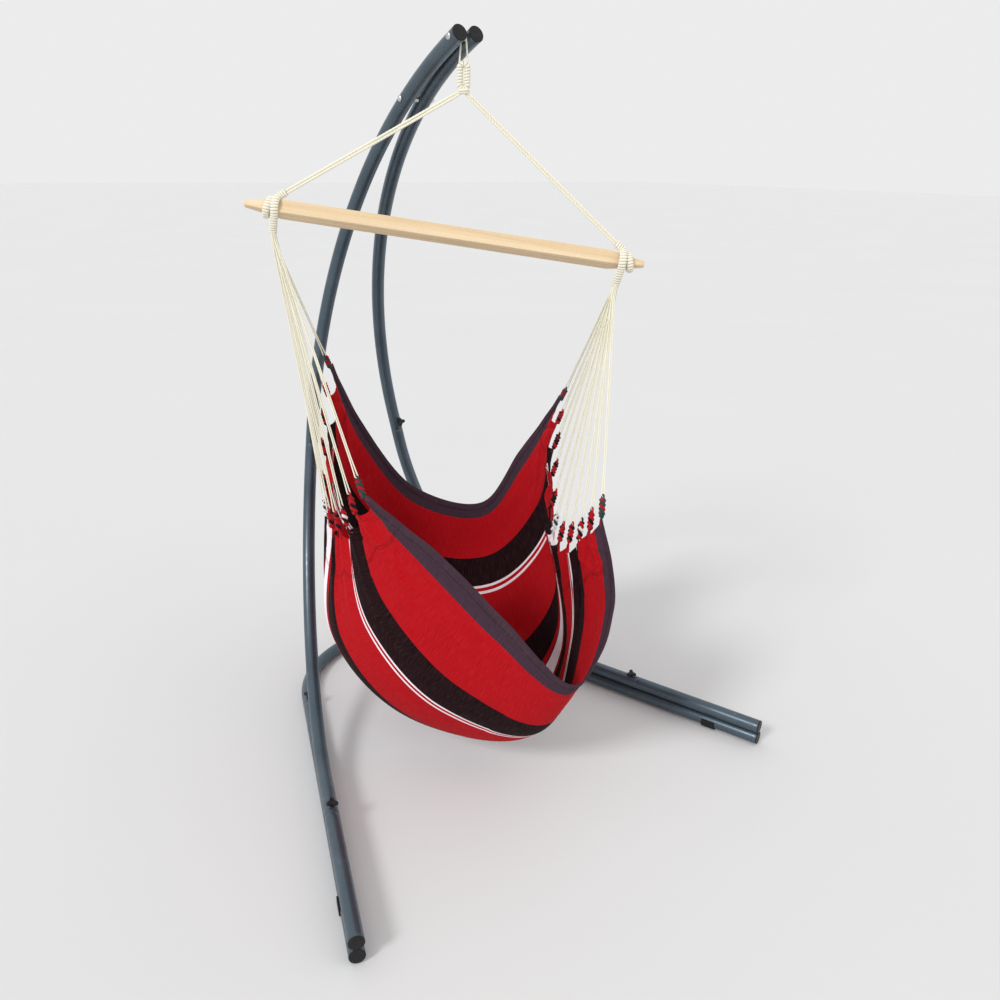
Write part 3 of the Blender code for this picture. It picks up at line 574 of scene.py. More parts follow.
def turned(shape, start, direction, profile, sides, closed=False):
    """A solid turned about an axis; profile is (distance along, radius), closed for one with a bore."""
    direction = unit(direction)
    reference = UP if abs(direction[2]) < 0.9 else RIGHT
    first = unit(reference - (reference @ direction) * direction)
    second = np.cross(direction, first)
    angles = round_angles(sides)
    round_it = np.cos(angles)[:, None] * first + np.sin(angles)[:, None] * second
    profile = np.array(profile)
    points = start + profile[:, :1, None] * direction + profile[:, 1:, None] * round_it
    run = lengths(np.concatenate([profile, profile[:1]]) if closed else profile)
    radius = profile[:, 1].max()
    shape.grid(points, section_uv(run, angles[None], radius), True, closed, not closed)


# ---------------------------------------------------------------- tube centrelines
def mirrored(vector, hand):
    return np.array(vector) * (hand, 1.0, 1.0)


class Centreline:
    """Straights and arcs end to end. `side` is the unit vector that an arc turns towards."""

    def __init__(self, start, direction, side):
        self.state = (start, direction, side)
        self.rolled = 0.0
        self.length = 0.0
        self.spans = []

    def add(self, length, curvature=0.0):
        span = (self.length, *self.state, self.rolled, curvature)
        self.spans.append(span)
        self.length += length
        self.state = self.step(span, length)

    @staticmethod
    def step(span, distance):
        _, place, direction, side, _, curvature = span
        if curvature == 0.0:
            return place + distance * direction, direction, side
        angle = distance * curvature
        moved = place + (math.sin(angle) * direction + (1 - math.cos(angle)) * side) / curvature
        heading = math.cos(angle) * direction + math.sin(angle) * side
        return moved, heading, math.cos(angle) * side - math.sin(angle) * direction

    def roll(self, angle):
        place, direction, side = self.state
        self.state = (place, direction, math.cos(angle) * side + math.sin(angle) * np.cross(direction, side))
        self.rolled += angle

    def at(self, s):
        """Place, direction, bend side, and two section axes that never twist along the tube."""
        span = [candidate for candidate in self.spans if candidate[0] <= max(s, 0.0)][-1]
        place, direction, side = self.step(span, s - span[0])
        first = math.cos(span[4]) * side - math.sin(span[4]) * np.cross(direction, side)
        return place, direction, side, first, np.cross(direction, first)

    def ring(self, s, radius, hand):
        place, _, _, first, second = self.at(s)
        angles = round_angles(TUBE_SIDES)
        turned_round = np.cos(angles)[:, None] * first + np.sin(angles)[:, None] * second
        return mirrored(place + radius * turned_round, hand)


def arm_centreline():
    outward = np.array([math.sin(LEG_ANGLE), -math.cos(LEG_ANGLE), 0.0])
    inward = np.array([-math.cos(LEG_ANGLE), -math.sin(LEG_ANGLE), 0.0])
    rise = math.cos(ARM_LEAN) * UP + math.sin(ARM_LEAN) * inward

    def laid_from(foot_x):
        line = Centreline(np.array([foot_x, FOOT_Y, LEG_HEIGHT]), -outward, rise)
        line.add(LEG_LENGTH + LOWER_STRAIGHT)
        line.add(LOWER_BEND_RADIUS * LOWER_BEND, 1 / LOWER_BEND_RADIUS)
        line.add(MID_STRAIGHT)
        line.roll(ARM_ROLL)
        line.add(UPPER_BEND_RADIUS * UPPER_BEND, 1 / UPPER_BEND_RADIUS)
        line.add(TIP_STRAIGHT)
        return line

    return laid_from(TIP_SPACING / 2 - laid_from(0.0).state[0][0])


ARM = arm_centreline()
FOOT_X = ARM.at(0.0)[0][0]
LEG_SEAM = LEG_LENGTH
MID_SEAM = LEG_LENGTH + LOWER_STRAIGHT + LOWER_BEND_RADIUS * LOWER_BEND + MID_STRAIGHT - MID_SEAM_SETBACK
BASE_RUN = (FOOT_X - REAR_BEND_RADIUS * math.cos(LEG_ANGLE)) / math.sin(LEG_ANGLE)
REAR_SEAM = BASE_RUN - REAR_SOCKET_LENGTH
HANGER = ARM.at(ARM.length - HANGER_BOLT_SETBACK)[0]


def base_centreline():
    inward = np.array([-math.sin(LEG_ANGLE), math.cos(LEG_ANGLE), 0.0])
    line = Centreline(np.array([FOOT_X, FOOT_Y, BASE_HEIGHT]), inward, np.cross(UP, inward))
    line.add(BASE_RUN)
    line.add(REAR_BEND_RADIUS * (math.pi - 2 * LEG_ANGLE), 1 / REAR_BEND_RADIUS)
    line.add(REAR_SOCKET_LENGTH)
    return line


BASE = base_centreline()


# ---------------------------------------------------------------- stand
def stand_tube(name, line, start, end, hand, spigot=False):
    """One bent tube with its wall and rounded lips; a spigot is swaged past the end for the next tube."""
    count = max(2, math.ceil((end - start) / TUBE_STEP))
    run = np.linspace(start + TUBE_LIP, end - (0.0 if spigot else TUBE_LIP), count)
    bore = TUBE_RADIUS - TUBE_WALL
    outer = [(start, TUBE_RADIUS - TUBE_LIP), (start + 0.3 * TUBE_LIP, TUBE_RADIUS - 0.3 * TUBE_LIP)]
    outer += [(s, TUBE_RADIUS) for s in run]
    if spigot:
        narrowing = SPIGOT_RADIUS - TUBE_RADIUS
        outer += [(end + past, TUBE_RADIUS + share * narrowing) for past, share in SWAGE_SHOULDER]
        outer += [(end + SPIGOT_LENGTH, SPIGOT_RADIUS), (end + SPIGOT_LENGTH, SPIGOT_RADIUS - TUBE_WALL)]
        inner = [(end, SPIGOT_RADIUS - TUBE_WALL), (end - SWAGE_TAPER, bore)]
    else:
        outer += [(end - 0.3 * TUBE_LIP, TUBE_RADIUS - 0.3 * TUBE_LIP), (end, TUBE_RADIUS - TUBE_LIP)]
        inner = [(end, bore)]
    inner += [(s, bore) for s in run[::-3] if s < end - 2 * SWAGE_TAPER] + [(start, bore)]
    stations = outer + inner
    points = np.array([line.ring(s, radius, hand) for s, radius in stations])
    shape = Shape()
    run = np.array([s for s, _ in stations] + [stations[0][0]])
    turn = 2 * math.pi * TUBE_RADIUS * np.arange(TUBE_SIDES + 1) / TUBE_SIDES
    shape.grid(points, np.stack(np.meshgrid(run, turn, indexing="ij"), 2), True, True)
    settle(shape.build(f"{name}_coated", [COAT], 35), "stand", "tube", name)


def end_cap(name, line, end, outward_sign, hand):
    """A push-in plug: a softly domed face with an eased rim, and the plug inside the tube."""
    plug = TUBE_RADIUS - TUBE_WALL - FIT_GAP
    profile = [(CAP_FLANGE + 0.0006, 0.002), (CAP_FLANGE + 0.0005, 0.010), (CAP_FLANGE + 0.0002, 0.0165)]
    for angle in np.radians((90, 65, 40, 15)):
        height = CAP_FLANGE - CAP_EASE * (1 - math.sin(angle))
        profile.append((height, TUBE_RADIUS - CAP_EASE * (1 - math.cos(angle))))
    profile += [(FIT_GAP, TUBE_RADIUS), (FIT_GAP, plug), (-CAP_PLUG_LENGTH, plug)]
    place, direction = line.at(end)[:2]
    shape = Shape()
    turned(shape, mirrored(place, hand), mirrored(outward_sign * direction, hand), profile, 56)
    settle(shape.build(f"{name}_moulded", [PLASTIC], 40), "stand", "plastic", name)


def make_stand():
    for side, hand in SIDES:
        stand_tube(f"upper_arm_{side}", ARM, MID_SEAM + FIT_GAP, ARM.length, hand)
        stand_tube(f"lower_arm_{side}", ARM, LEG_SEAM + FIT_GAP, MID_SEAM, hand, True)
        stand_tube(f"leg_tube_{side}", ARM, 0.0, LEG_SEAM, hand, True)
        stand_tube(f"base_tube_{side}", BASE, 0.0, REAR_SEAM, hand, True)
        end_cap(f"arm_cap_{side}", ARM, ARM.length, 1, hand)
        end_cap(f"leg_cap_{side}", ARM, 0.0, -1, hand)
        end_cap(f"base_cap_{side}", BASE, 0.0, -1, hand)
    stand_tube("rear_bend", BASE, REAR_SEAM + FIT_GAP, BASE.length - FIT_GAP, 1)
    for name in ("floor_clip_left", "floor_clip_right", "floor_clip_rear"):
        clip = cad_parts[name]
        clip.data.materials.clear()
        clip.data.materials.append(PLASTIC)
        bevel = clip.modifiers.new("eased_edges", "BEVEL")
        bevel.width = CLIP_EASE
        bevel.segments = 3
        bevel.limit_method = "ANGLE"
        bevel.angle_limit = math.radians(35)
    cross_bolt("hanger", HANGER_BOLT_SETBACK)
    cross_bolt("tie", TIE_BOLT_SETBACK)


def cross_bolt(name, setback):
    """Domed bolt through both arms, a chamfered hex nut, and the sleeve between the arms."""
    centre, heading = ARM.at(ARM.length - setback)[:2]
    middle = np.array([0.0, centre[1], centre[2]])
    slope = math.asin(abs(heading[0]))
    stand_off = TUBE_RADIUS / math.cos(slope) + BOLT_HEAD_RADIUS * math.tan(slope) + FIT_GAP
    face = centre[0] + stand_off
    dome = [(-face - BOLT_HEAD_HEIGHT * math.sin(a), BOLT_HEAD_RADIUS * math.cos(a))
            for a in np.radians((86, 70, 54, 38, 22, 8))]
    profile = dome + [(-face, BOLT_HEAD_RADIUS * 0.99), (-face, BOLT_RADIUS)]
    tail = face + NUT_HEIGHT + BOLT_TAIL
    profile += [(tail - BOLT_CHAMFER, BOLT_RADIUS), (tail, BOLT_RADIUS - BOLT_CHAMFER)]
    shape = Shape()
    turned(shape, middle, RIGHT, profile, 36)
    settle(shape.build(f"{name}_bolt_turned", [ZINC], 40), "stand", "bolt", f"{name}_bolt")

    nut = Shape()
    top, bore = face + NUT_HEIGHT, BOLT_RADIUS + NUT_CLEARANCE
    rings = ((face, NUT_RADIUS - NUT_CORNER), (face + NUT_CORNER, NUT_RADIUS),
             (top - NUT_CORNER, NUT_RADIUS), (top, NUT_RADIUS - NUT_CORNER), (top, bore), (face, bore))
    turned(nut, middle, RIGHT, rings, 6, True)
    settle(nut.build(f"{name}_nut_hex", [ZINC], 25), "stand", "bolt", f"{name}_nut")

    half = centre[0] - stand_off
    ease, bore = BOLT_CHAMFER, BOLT_RADIUS + FIT_GAP
    sleeve = Shape()
    rings = ((-half, SPACER_RADIUS - ease), (-half + ease, SPACER_RADIUS), (half - ease, SPACER_RADIUS),
             (half, SPACER_RADIUS - ease), (half, bore), (-half, bore))
    turned(sleeve, middle, RIGHT, rings, 36, True)
    settle(sleeve.build(f"{name}_sleeve_turned", [ZINC], 40), "stand", "bolt", f"{name}_spacer")


def wing_knob(name, line, s, side_vector, hand):
    """Three-lobed hand knob with a dished top, a collar and its stud, standing square to the tube.

    Each section is (height, radius, share of the lobes).
    """
    angles = round_angles(KNOB_SIDES)
    sections = (
        (-STUD_REACH, STUD_RADIUS - 0.0006, 0.0), (-STUD_REACH + 0.0006, STUD_RADIUS, 0.0),
        (0.0, STUD_RADIUS, 0.0), (0.0, 0.0066, 0.0), (0.0006, 0.0072, 0.0), (0.0040, 0.0072, 0.0),
        (0.0052, 0.0086, 0.08), (0.0060, 0.0115, 0.70), (0.0068, KNOB_RADIUS, 0.95),
        (0.0080, KNOB_RADIUS, 1.0), (0.0112, KNOB_RADIUS, 1.0), (0.0126, KNOB_RADIUS - 0.0006, 0.97),
        (KNOB_HEIGHT, KNOB_RADIUS - 0.0020, 0.85), (KNOB_HEIGHT, 0.0088, 0.35),
        (KNOB_HEIGHT - 0.0008, 0.0068, 0.0), (KNOB_HEIGHT - 0.0012, 0.0030, 0.0),
    )
    lobes = np.cos(KNOB_LOBES * angles) + 0.35 * np.abs(np.cos(KNOB_LOBES / 2 * angles)) ** 4
    rings = []
    for height, radius, share in sections:
        reach = radius + share * KNOB_LOBE * lobes
        level = np.full(KNOB_SIDES, height)
        rings.append(np.stack([reach * np.cos(angles), reach * np.sin(angles), level], 1))
    out = Vector(mirrored(side_vector, hand)).normalized()
    place = Matrix.Translation(Vector(mirrored(line.at(s)[0], hand)) + (TUBE_RADIUS + FIT_GAP) * out)
    place = place @ out.to_track_quat("Z", "Y").to_matrix().to_4x4()
    shape = Shape()
    run = np.arange(len(sections)) * 0.002
    shape.grid(np.array(rings), section_uv(run, angles[None], KNOB_RADIUS), True, False, True)
    settle(shape.build(f"{name}_moulded", [PLASTIC], 42, place), name, "plastic", name)


def make_knobs():
    for side, hand in SIDES:
        for joint, line, seam in (("mid", ARM, MID_SEAM), ("leg", ARM, LEG_SEAM), ("rear", BASE, REAR_SEAM)):
            s = seam + KNOB_SETBACK
            wing_knob(f"{joint}_knob_{side}", line, s, UP if joint == "rear" else line.at(s)[2], hand)


# ---------------------------------------------------------------- suspension
def chair_point(across, ahead, height):
    """A point given in the chair's axes, which stand under the hanger bolt."""
    return np.array([0.0, HANGER[1], 0.0]) + across * ACROSS + ahead * AHEAD + height * UP


BAR_ALONG = math.cos(BAR_TILT) * ACROSS + math.sin(BAR_TILT) * UP
BAR_ABOVE = np.cross(BAR_ALONG, AHEAD)
BAR_ABOVE = BAR_ABOVE * np.sign(BAR_ABOVE[2])


def bar_place(hand, setback):
    return chair_point(*BAR_CENTRE) + hand * (BAR_LENGTH / 2 - setback) * BAR_ALONG


def hang_place(hand):
    return bar_place(hand, HANG_SETBACK)


def shank_direction(hand):
    """Down towards the middle of the side's cloth edge, in the upright plane through the bar."""
    across, _, height = CLOTH_LINES[0 if hand < 0 else -1][2]
    return unit(chair_point(across, BAR_CENTRE[1], height) - hang_place(hand))


def hanging_cord():
    """The cord over the hanger bolt's sleeve, whose two legs run down into the bound eye."""
    reach = SPACER_RADIUS + CORD_RADIUS + CORD_SLACK
    top = np.array([0.0, HANGER[1], HANGER[2]])
    back = np.array([0.0, 1.0, 0.0])
    bend = [top + reach * (math.cos(a) * back + math.sin(a) * UP) for a in np.linspace(0, math.pi, 25)]
    foot_height = EYE_BOTTOM + EYE_HEIGHT - CORD_TUCK
    left_foot = chair_point(-EYE_HALF_WIDTH - 3 * CORD_SLACK, 0.0, foot_height)
    right_foot = chair_point(EYE_HALF_WIDTH + 3 * CORD_SLACK, 0.0, foot_height)
    left = resampled(np.array([left_foot, bend[0]]), 0.004)[:-1]
    right = resampled(np.array([bend[-1], right_foot]), 0.004)[1:]
    path = np.concatenate([left, bend, right])
    path[2:-2] = (path[:-4] + path[1:-3] + 2 * path[2:-2] + path[3:-1] + path[4:]) / 6
    path = resampled(path, 0.0008)
    shape = Shape()
    cord_tube(shape, path, RIGHT, CORD_RADIUS, 16, CORD_LAY)
    cord = settle(shape.build("hanging_cord_laid", [COTTON]), "cord_loop", "cord", "hanging_cord")


def bound_eye():
    """The rope eye, bound all round, and the wider binding at its neck."""
    top = EYE_BOTTOM + EYE_HEIGHT - EYE_TUBE_RADIUS - EYE_HALF_WIDTH
    low = EYE_BOTTOM + EYE_TUBE_RADIUS + EYE_HALF_WIDTH
    path = []
    for height, sign in ((top, 1), (low, -1)):
        for angle in np.linspace(0, math.pi, 17):
            across = sign * EYE_HALF_WIDTH * math.cos(angle)
            path.append(chair_point(across, 0.0, height + sign * EYE_HALF_WIDTH * math.sin(angle)))
    path = resampled(np.array(path + path[:1]), BINDING_PITCH / 9)[:-1]
    shape = Shape()
    bound_tube(shape, path, AHEAD, EYE_TUBE_RADIUS, EYE_TUBE_RADIUS, True)
    heights = (-NECK_DROP, NECK_HEIGHT - NECK_DROP)
    neck = resampled(np.array([chair_point(0, 0, EYE_BOTTOM + height) for height in heights]), 0.0007)
    bound_tube(shape, neck, ACROSS, NECK_HALF_WIDTH, NECK_HALF_DEPTH)
    settle(shape.build("wrapped_eye_bound", [BOUND_COTTON], 70), "eye", "cord", "wrapped_eye")


def ropes(side, hand):
    """Two laid strands side by side from the eye's neck down to the hitch on the bar."""
    root = chair_point(0.0, 0.0, EYE_BOTTOM + NECK_DROP)
    foot = bar_place(hand, RING_SETBACKS[hand] + HITCH_OFFSET) + HITCH_PATH_RADIUS * BAR_ABOVE
    direction = unit(foot - root)
    apart = np.cross(AHEAD, direction)
    for number, sign in (("upper", 1), ("lower", -1)):
        offset = sign * ROPE_SPACING * ROPE_STRAND_RADIUS * apart
        path = eased([root + 0.35 * offset, root + ROPE_JOIN * direction + offset, foot + offset], 0.002, 6)
        line = resampled(path, 0.0012)
        shape = Shape()
        cord_tube(shape, line, AHEAD, ROPE_STRAND_RADIUS, 18, ROPE_LAY)
        strand = settle(shape.build(f"rope_{side}_{number}", [COTTON]), "bar", "cord", f"rope_{side}")
    return foot, direction


def bar_ring(side, hand):
    """The bound rope that sits round the bar, leaning a little towards the middle at its top."""
    centre = bar_place(hand, RING_SETBACKS[hand])
    lean = -hand * math.sin(RING_LEAN) * BAR_ALONG + math.cos(RING_LEAN) * BAR_ABOVE
    angles = np.linspace(0, 2 * math.pi, 220)[:-1, None]
    path = centre + RING_PATH_RADII[hand] * (np.cos(angles) * lean + np.sin(angles) * AHEAD)
    path = resampled(np.concatenate([path, path[:1]]), BINDING_PITCH / 9)[:-1]
    shape = Shape()
    bound_tube(shape, path, BAR_ALONG, RING_HALF_WIDTH, RING_HALF_DEPTH, True)
    settle(shape.build(f"end_ring_{side}_bound", [BOUND_COTTON], 70), "bar", "cord", f"end_ring_{side}")


def hitch(side, hand, rope_foot, rope_direction):
    """The bound rope end: from the ropes over the bar's front and down to where the strings spread."""
    centre = rope_foot - HITCH_PATH_RADIUS * BAR_ABOVE
    foot = string_root(hand)
    route = [rope_foot - HITCH_ON_ROPE * rope_direction, rope_foot - 0.3 * HITCH_ON_ROPE * rope_direction]
    for angle in np.radians((12, 30, 50, 70, 90, 110, 125)):
        route.append(centre + HITCH_PATH_RADIUS * (math.cos(angle) * BAR_ABOVE + math.sin(angle) * AHEAD))
    route.append((route[-1] + foot) / 2 + 0.002 * AHEAD)
    route.append(foot)
    path = eased(route, BINDING_PITCH / 9, 60)
    shape = Shape()
    bound_tube(shape, path, BAR_ALONG, HITCH_HALF_WIDTH, HITCH_HALF_DEPTH)
    made = shape.build(f"string_shank_{side}_bound", [BOUND_COTTON], 70)
    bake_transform(made)
    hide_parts(f"string_shank_{side}")


def string_root(hand):
    """Where one side's strings leave their binding."""
    return hang_place(hand) + SHANK_END * shank_direction(hand) - hand * SHANK_INSET * BAR_ALONG


def make_bar():
    """Square beech bar with eased corners, tapered to soft blunt tips; its own X runs along it."""
    half = BAR_LENGTH / 2
    ease = BAR_TIP_EASE
    stations = [(half - ease * (1 - math.sin(a)), BAR_TIP_HALF_SIZE - ease * (1 - math.cos(a)) * 0.6)
                for a in np.radians((90, 65, 40, 15))]
    stations += [(half - ease - (BAR_TAPER - ease) * t, BAR_TIP_HALF_SIZE
                  + (BAR_HALF_SIZE - BAR_TIP_HALF_SIZE) * t) for t in np.linspace(0.0, 1.0, 9)]
    plain = np.linspace(half - BAR_TAPER, BAR_TAPER - half, 40)[1:-1]
    stations += [(x, BAR_HALF_SIZE) for x in plain]
    stations += [(-x, size) for x, size in stations[12::-1]]
    rings = []
    for x, size in stations:
        ease = BAR_EASE + 0.25 * (BAR_HALF_SIZE - size)
        flat = size - ease
        quarter = [(size, -0.96 * flat), (size, 0.0), (size, 0.96 * flat)]
        quarter += [(flat + ease * math.cos(a), flat + ease * math.sin(a))
                    for a in np.linspace(0, math.pi / 2, 7)]
        ring = []
        for turn in range(4):
            c, s = (1, 0, -1, 0)[turn], (0, 1, 0, -1)[turn]
            ring += [(x, c * y - s * z, s * y + c * z) for y, z in quarter]
        rings.append(ring)
    points = np.array(rings)
    turn = 8 * BAR_HALF_SIZE * np.arange(points.shape[1] + 1) / points.shape[1]
    shape = Shape()
    shape.grid(points, np.stack(np.meshgrid(points[:, 0, 0], turn, indexing="ij"), 2), True, False, True)
    first = math.cos(BAR_ROLL) * BAR_ABOVE + math.sin(BAR_ROLL) * AHEAD
    second = np.cross(BAR_ALONG, first)
    place = Matrix([(*row, c) for row, c in zip(np.stack([BAR_ALONG, first, second], 1).tolist(),
                                               chair_point(*BAR_CENTRE).tolist())] + [(0, 0, 0, 1)])
    settle(shape.build("spreader_bar_beech", [BEECH], 30, place), "bar", "wood", "spreader_bar")


# ---------------------------------------------------------------- cloth surface
def spline_weights(fraction, count):
    """How much each of `count` even control points weighs at each fraction (Catmull-Rom)."""
    place = np.clip(fraction, 0.0, 1.0) * (count - 1)
    index = np.minimum(place.astype(int), count - 2)
    t = place - index
    four = (-t / 2 + t ** 2 - t ** 3 / 2, 1 - 2.5 * t ** 2 + 1.5 * t ** 3,
            t / 2 + 2 * t ** 2 - 1.5 * t ** 3, -t ** 2 / 2 + t ** 3 / 2)
    weights = np.zeros((*fraction.shape, count + 2))
    for shift, weight in enumerate(four):
        np.put_along_axis(weights, (index + shift)[..., None], weight[..., None], -1)
    for ghost, near, next_in in ((0, 1, 2), (count + 1, count, count - 1)):
        weights[..., near] += 2 * weights[..., ghost]
        weights[..., next_in] -= weights[..., ghost]
    return weights[..., 1:-1]


AXES = np.stack([ACROSS, AHEAD, UP])


def smooth_cloth(along, across):
    """The cloth's middle surface without folds."""
    net = CLOTH_LINES @ AXES + np.array([0.0, HANGER[1], 0.0])
    return np.einsum("...i,...j,ijk->...k", spline_weights(across, 6), spline_weights(along, 5), net)


RIB_PARTS = 24
RIB_ALONGS = np.linspace(0.0, 1.0, 33)
RIB_LENGTHS = np.array([
    lengths(smooth_cloth(np.full(RIB_PARTS + 1, along), np.linspace(0, 1, RIB_PARTS + 1)))[-1]
    for along in RIB_ALONGS
])


def rough(along, across, scale_along, scale_across, seed):
    """Soft noise from -1 to 1 over the cloth, stretched as the two scales say."""
    flat = zip(along.ravel() * scale_along, across.ravel() * scale_across)
    values = [noise.noise(Vector((x, y, seed))) for x, y in flat]
    return np.array(values).reshape(along.shape)


def scallop(along):
    """How far the edge falls back from the loops' line, in metres."""
    phase = (along - FIRST_LOOP) / LOOP_PITCH
    share = np.mod(phase, 1.0)
    depth = SCALLOP_DEPTH * (0.8 + 0.25 * np.sin(2.1 * np.floor(phase)))
    dip = 1 - np.abs(2 * share - 1) ** 2.2
    return np.where((phase < 0) | (phase > LOOPS_PER_SIDE - 1), 0.0, depth * dip)


# Height of each kind of fold, and how far in from the loops it dies out.
WANDER_HEIGHT, WANDER_REACH = 0.0130, 0.30
RIPPLE_HEIGHT, RIPPLE_REACH = 0.0085, 0.13
SWELL_HEIGHT = 0.0040
CREASE_HEIGHT, CREASE_REACH = 0.0060, 0.16
HEM_WAVE_HEIGHT = 0.0045
GATHER_HEIGHT, GATHER_REACH = 0.0080, 0.16
PLEAT_HEIGHT, PLEAT_REACH = 0.0090, 0.08

# Creases on both halves: start and end as (share along, metres in from the loops), height, width.
CREASES = (
    (0.880, 0.020, 0.985, 0.095, -0.0080, 0.0045), (0.885, 0.030, 0.830, 0.170, 0.0085, 0.006),
    (0.800, 0.020, 0.900, 0.130, -0.0075, 0.005), (0.690, 0.020, 0.655, 0.210, 0.0085, 0.007),
    (0.600, 0.020, 0.625, 0.180, -0.0080, 0.005), (0.500, 0.020, 0.450, 0.190, 0.0085, 0.006),
    (0.400, 0.020, 0.430, 0.160, -0.0075, 0.005), (0.300, 0.020, 0.250, 0.200, 0.0085, 0.007),
    (0.200, 0.020, 0.240, 0.150, -0.0075, 0.005), (0.110, 0.020, 0.025, 0.120, 0.0075, 0.005),
    (0.955, 0.110, 0.860, 0.290, 0.0060, 0.010), (0.060, 0.130, 0.150, 0.300, -0.0060, 0.010),
)


def cloth(along, grid_across):
    """Points and outward normals of the folded cloth; grid_across is 0 and 1 on the scalloped edges."""
    along, grid_across = np.broadcast_arrays(along, grid_across)
    rib = np.interp(along, RIB_ALONGS, RIB_LENGTHS)
    edge = scallop(along) / rib
    across = edge + grid_across * (1 - 2 * edge)
    step = 2e-3
    place = smooth_cloth(along, across)
    right, left = (smooth_cloth(along, np.clip(across + s, 0, 1)) for s in (step, -step))
    front, back = (smooth_cloth(np.clip(along + s, 0, 1), across) for s in (step, -step))
    normal = unit(np.cross(right - left, front - back))
    from_edge = np.minimum(across, 1 - across) * rib
    hand = np.where(across < 0.5, 0.0, 7.0)
    phase = (along - FIRST_LOOP) / LOOP_PITCH
    gather = np.cos(2 * math.pi * phase) - 1
    sharp = np.abs(np.cos(math.pi * phase)) ** 3 - 1
    loose = 1 - np.abs(np.cos(math.pi * phase)) ** 4 * np.exp(-(from_edge / 0.035) ** 2)
    wander = rough(along, across, 9.0, 1.6, 3.0)
    ripple = rough(along, across, 26.0, 3.0, 11.0)
    lift = WANDER_HEIGHT * wander * np.exp(-from_edge / WANDER_REACH)
    lift = lift + RIPPLE_HEIGHT * ripple * np.exp(-from_edge / RIPPLE_REACH)
    lift = lift + SWELL_HEIGHT * rough(along, across + hand, 5.0, 5.0, 21.0)
    creased = 1 - np.abs(rough(along, across + hand, 30.0, 2.2, 41.0)) * 4
    fading = np.exp(-from_edge / CREASE_REACH) * np.clip(from_edge / 0.03, 0, 1)
    lift = lift + CREASE_HEIGHT * np.clip(creased, 0, 1) ** 2 * fading
    for start_along, start_in, end_along, end_in, depth, width in CREASES:
        x, y = (along - start_along) * FLAT_ALONG, from_edge - start_in
        run_x, run_y = (end_along - start_along) * FLAT_ALONG, end_in - start_in
        size = math.hypot(run_x, run_y)
        share = np.clip((x * run_x + y * run_y) / size ** 2, 0, 1)
        apart = np.hypot(x - share * run_x, y - share * run_y)
        lift = lift + depth * np.exp(-apart / width) * (1 - 0.6 * share)
    near_hem = np.exp(-np.minimum(along, 1 - along) / 0.05)
    lift = lift + HEM_WAVE_HEIGHT * near_hem * rough(along, across, 3.0, 14.0, 31.0)
    lift = lift * loose
    lift = lift + GATHER_HEIGHT * gather * np.exp(-from_edge / GATHER_REACH)
    lift = lift + PLEAT_HEIGHT * sharp * np.exp(-from_edge / PLEAT_REACH)
    return place + lift[..., None] * normal, normal


def cloth_uv(along, grid_across):
    return np.stack(np.broadcast_arrays(along * FLAT_ALONG, grid_across * FLAT_ACROSS), -1)


# ---------------------------------------------------------------- seat
def seat_sheet():
    """The striped sheet; its columns run from loop edge to loop edge."""
    along = np.linspace(0.0, 1.0, CLOTH_ROWS + 1)[:, None]
    spread = np.linspace(0.0, 1.0, CLOTH_COLUMNS + 1)[None]
    across = spread - 0.05 * np.sin(2 * math.pi * spread)
    points, _ = cloth(along, across)
    shape = Shape()
    shape.grid(points, cloth_uv(along, across))
    sheet = shape.build("seat_cloth_woven", [CLOTH], 60)
    thick = sheet.modifiers.new("cloth_thickness", "SOLIDIFY")
    thick.thickness = CLOTH_THICKNESS
    thick.offset = 0.0
    return settle(sheet, "seat", "cloth", "seat_cloth")


def hem(name, edge_along, inward):
    """The folded strip along one hem: a flat closed roll round the sheet's edge."""
    across = np.linspace(0.0, 1.0, HEM_COLUMNS + 1)
    hem_share = HEM_WIDTH / FLAT_ALONG
    section = []
    for angle in np.radians(np.linspace(-90, 90, 7)):
        section.append((0.10 * (1 - math.cos(angle)), math.sin(angle)))
    for angle in np.radians(np.linspace(90, 270, 7)):
        section.append((1.0 - 0.04 * math.cos(angle), math.sin(angle)))
    rings = []
    uvs = []
    for share, height in section:
        along = np.full(HEM_COLUMNS + 1, np.clip(edge_along + inward * share * hem_share, 0, 1))
        points, normal = cloth(along, across)
        puckered = 1 + PUCKER_DEPTH * np.sin(across * PUCKER_WAVES) * (share > 0.5)
        thick = HEM_HALF_THICKNESS * height * puckered
        rings.append(points + thick[:, None] * normal)
        from_edge = np.full(HEM_COLUMNS + 1, edge_along * FLAT_ALONG + share * HEM_WIDTH)
        uvs.append(np.stack([from_edge, across * FLAT_ACROSS], 1))
    points = np.array(rings).transpose(1, 0, 2)
    uv = np.array(uvs + uvs[:1]).transpose(1, 0, 2)
    shape = Shape()
    shape.grid(points, uv, True, False, True)
    return settle(shape.build(name, [HEM_CLOTH], 60), "seat", "cloth")


def stitch_row(shape, along, across):
    """Short threads along a line on the cloth, on both of its faces."""
    points, normal = cloth(along, across)
    run = lengths(points)
    count = int(run[-1] / STITCH_PITCH)
    starts = (np.arange(count) + 0.5) * STITCH_PITCH
    for start in starts:
        at = start + np.linspace(-0.5, 0.5, 5) * STITCH_LENGTH
        line = np.stack([np.interp(at, run, points[:, axis]) for axis in range(3)], 1)
        out = unit(np.array([np.interp(start, run, normal[:, axis]) for axis in range(3)]))
        arch = np.array([-0.2, 0.75, 1.0, 0.75, -0.2])[:, None] * STITCH_RADIUS
        for face in (1, -1):
            lift = face * (stitch_base(along) + arch) * out
            cord_tube(shape, line + lift, out, STITCH_RADIUS, 6)


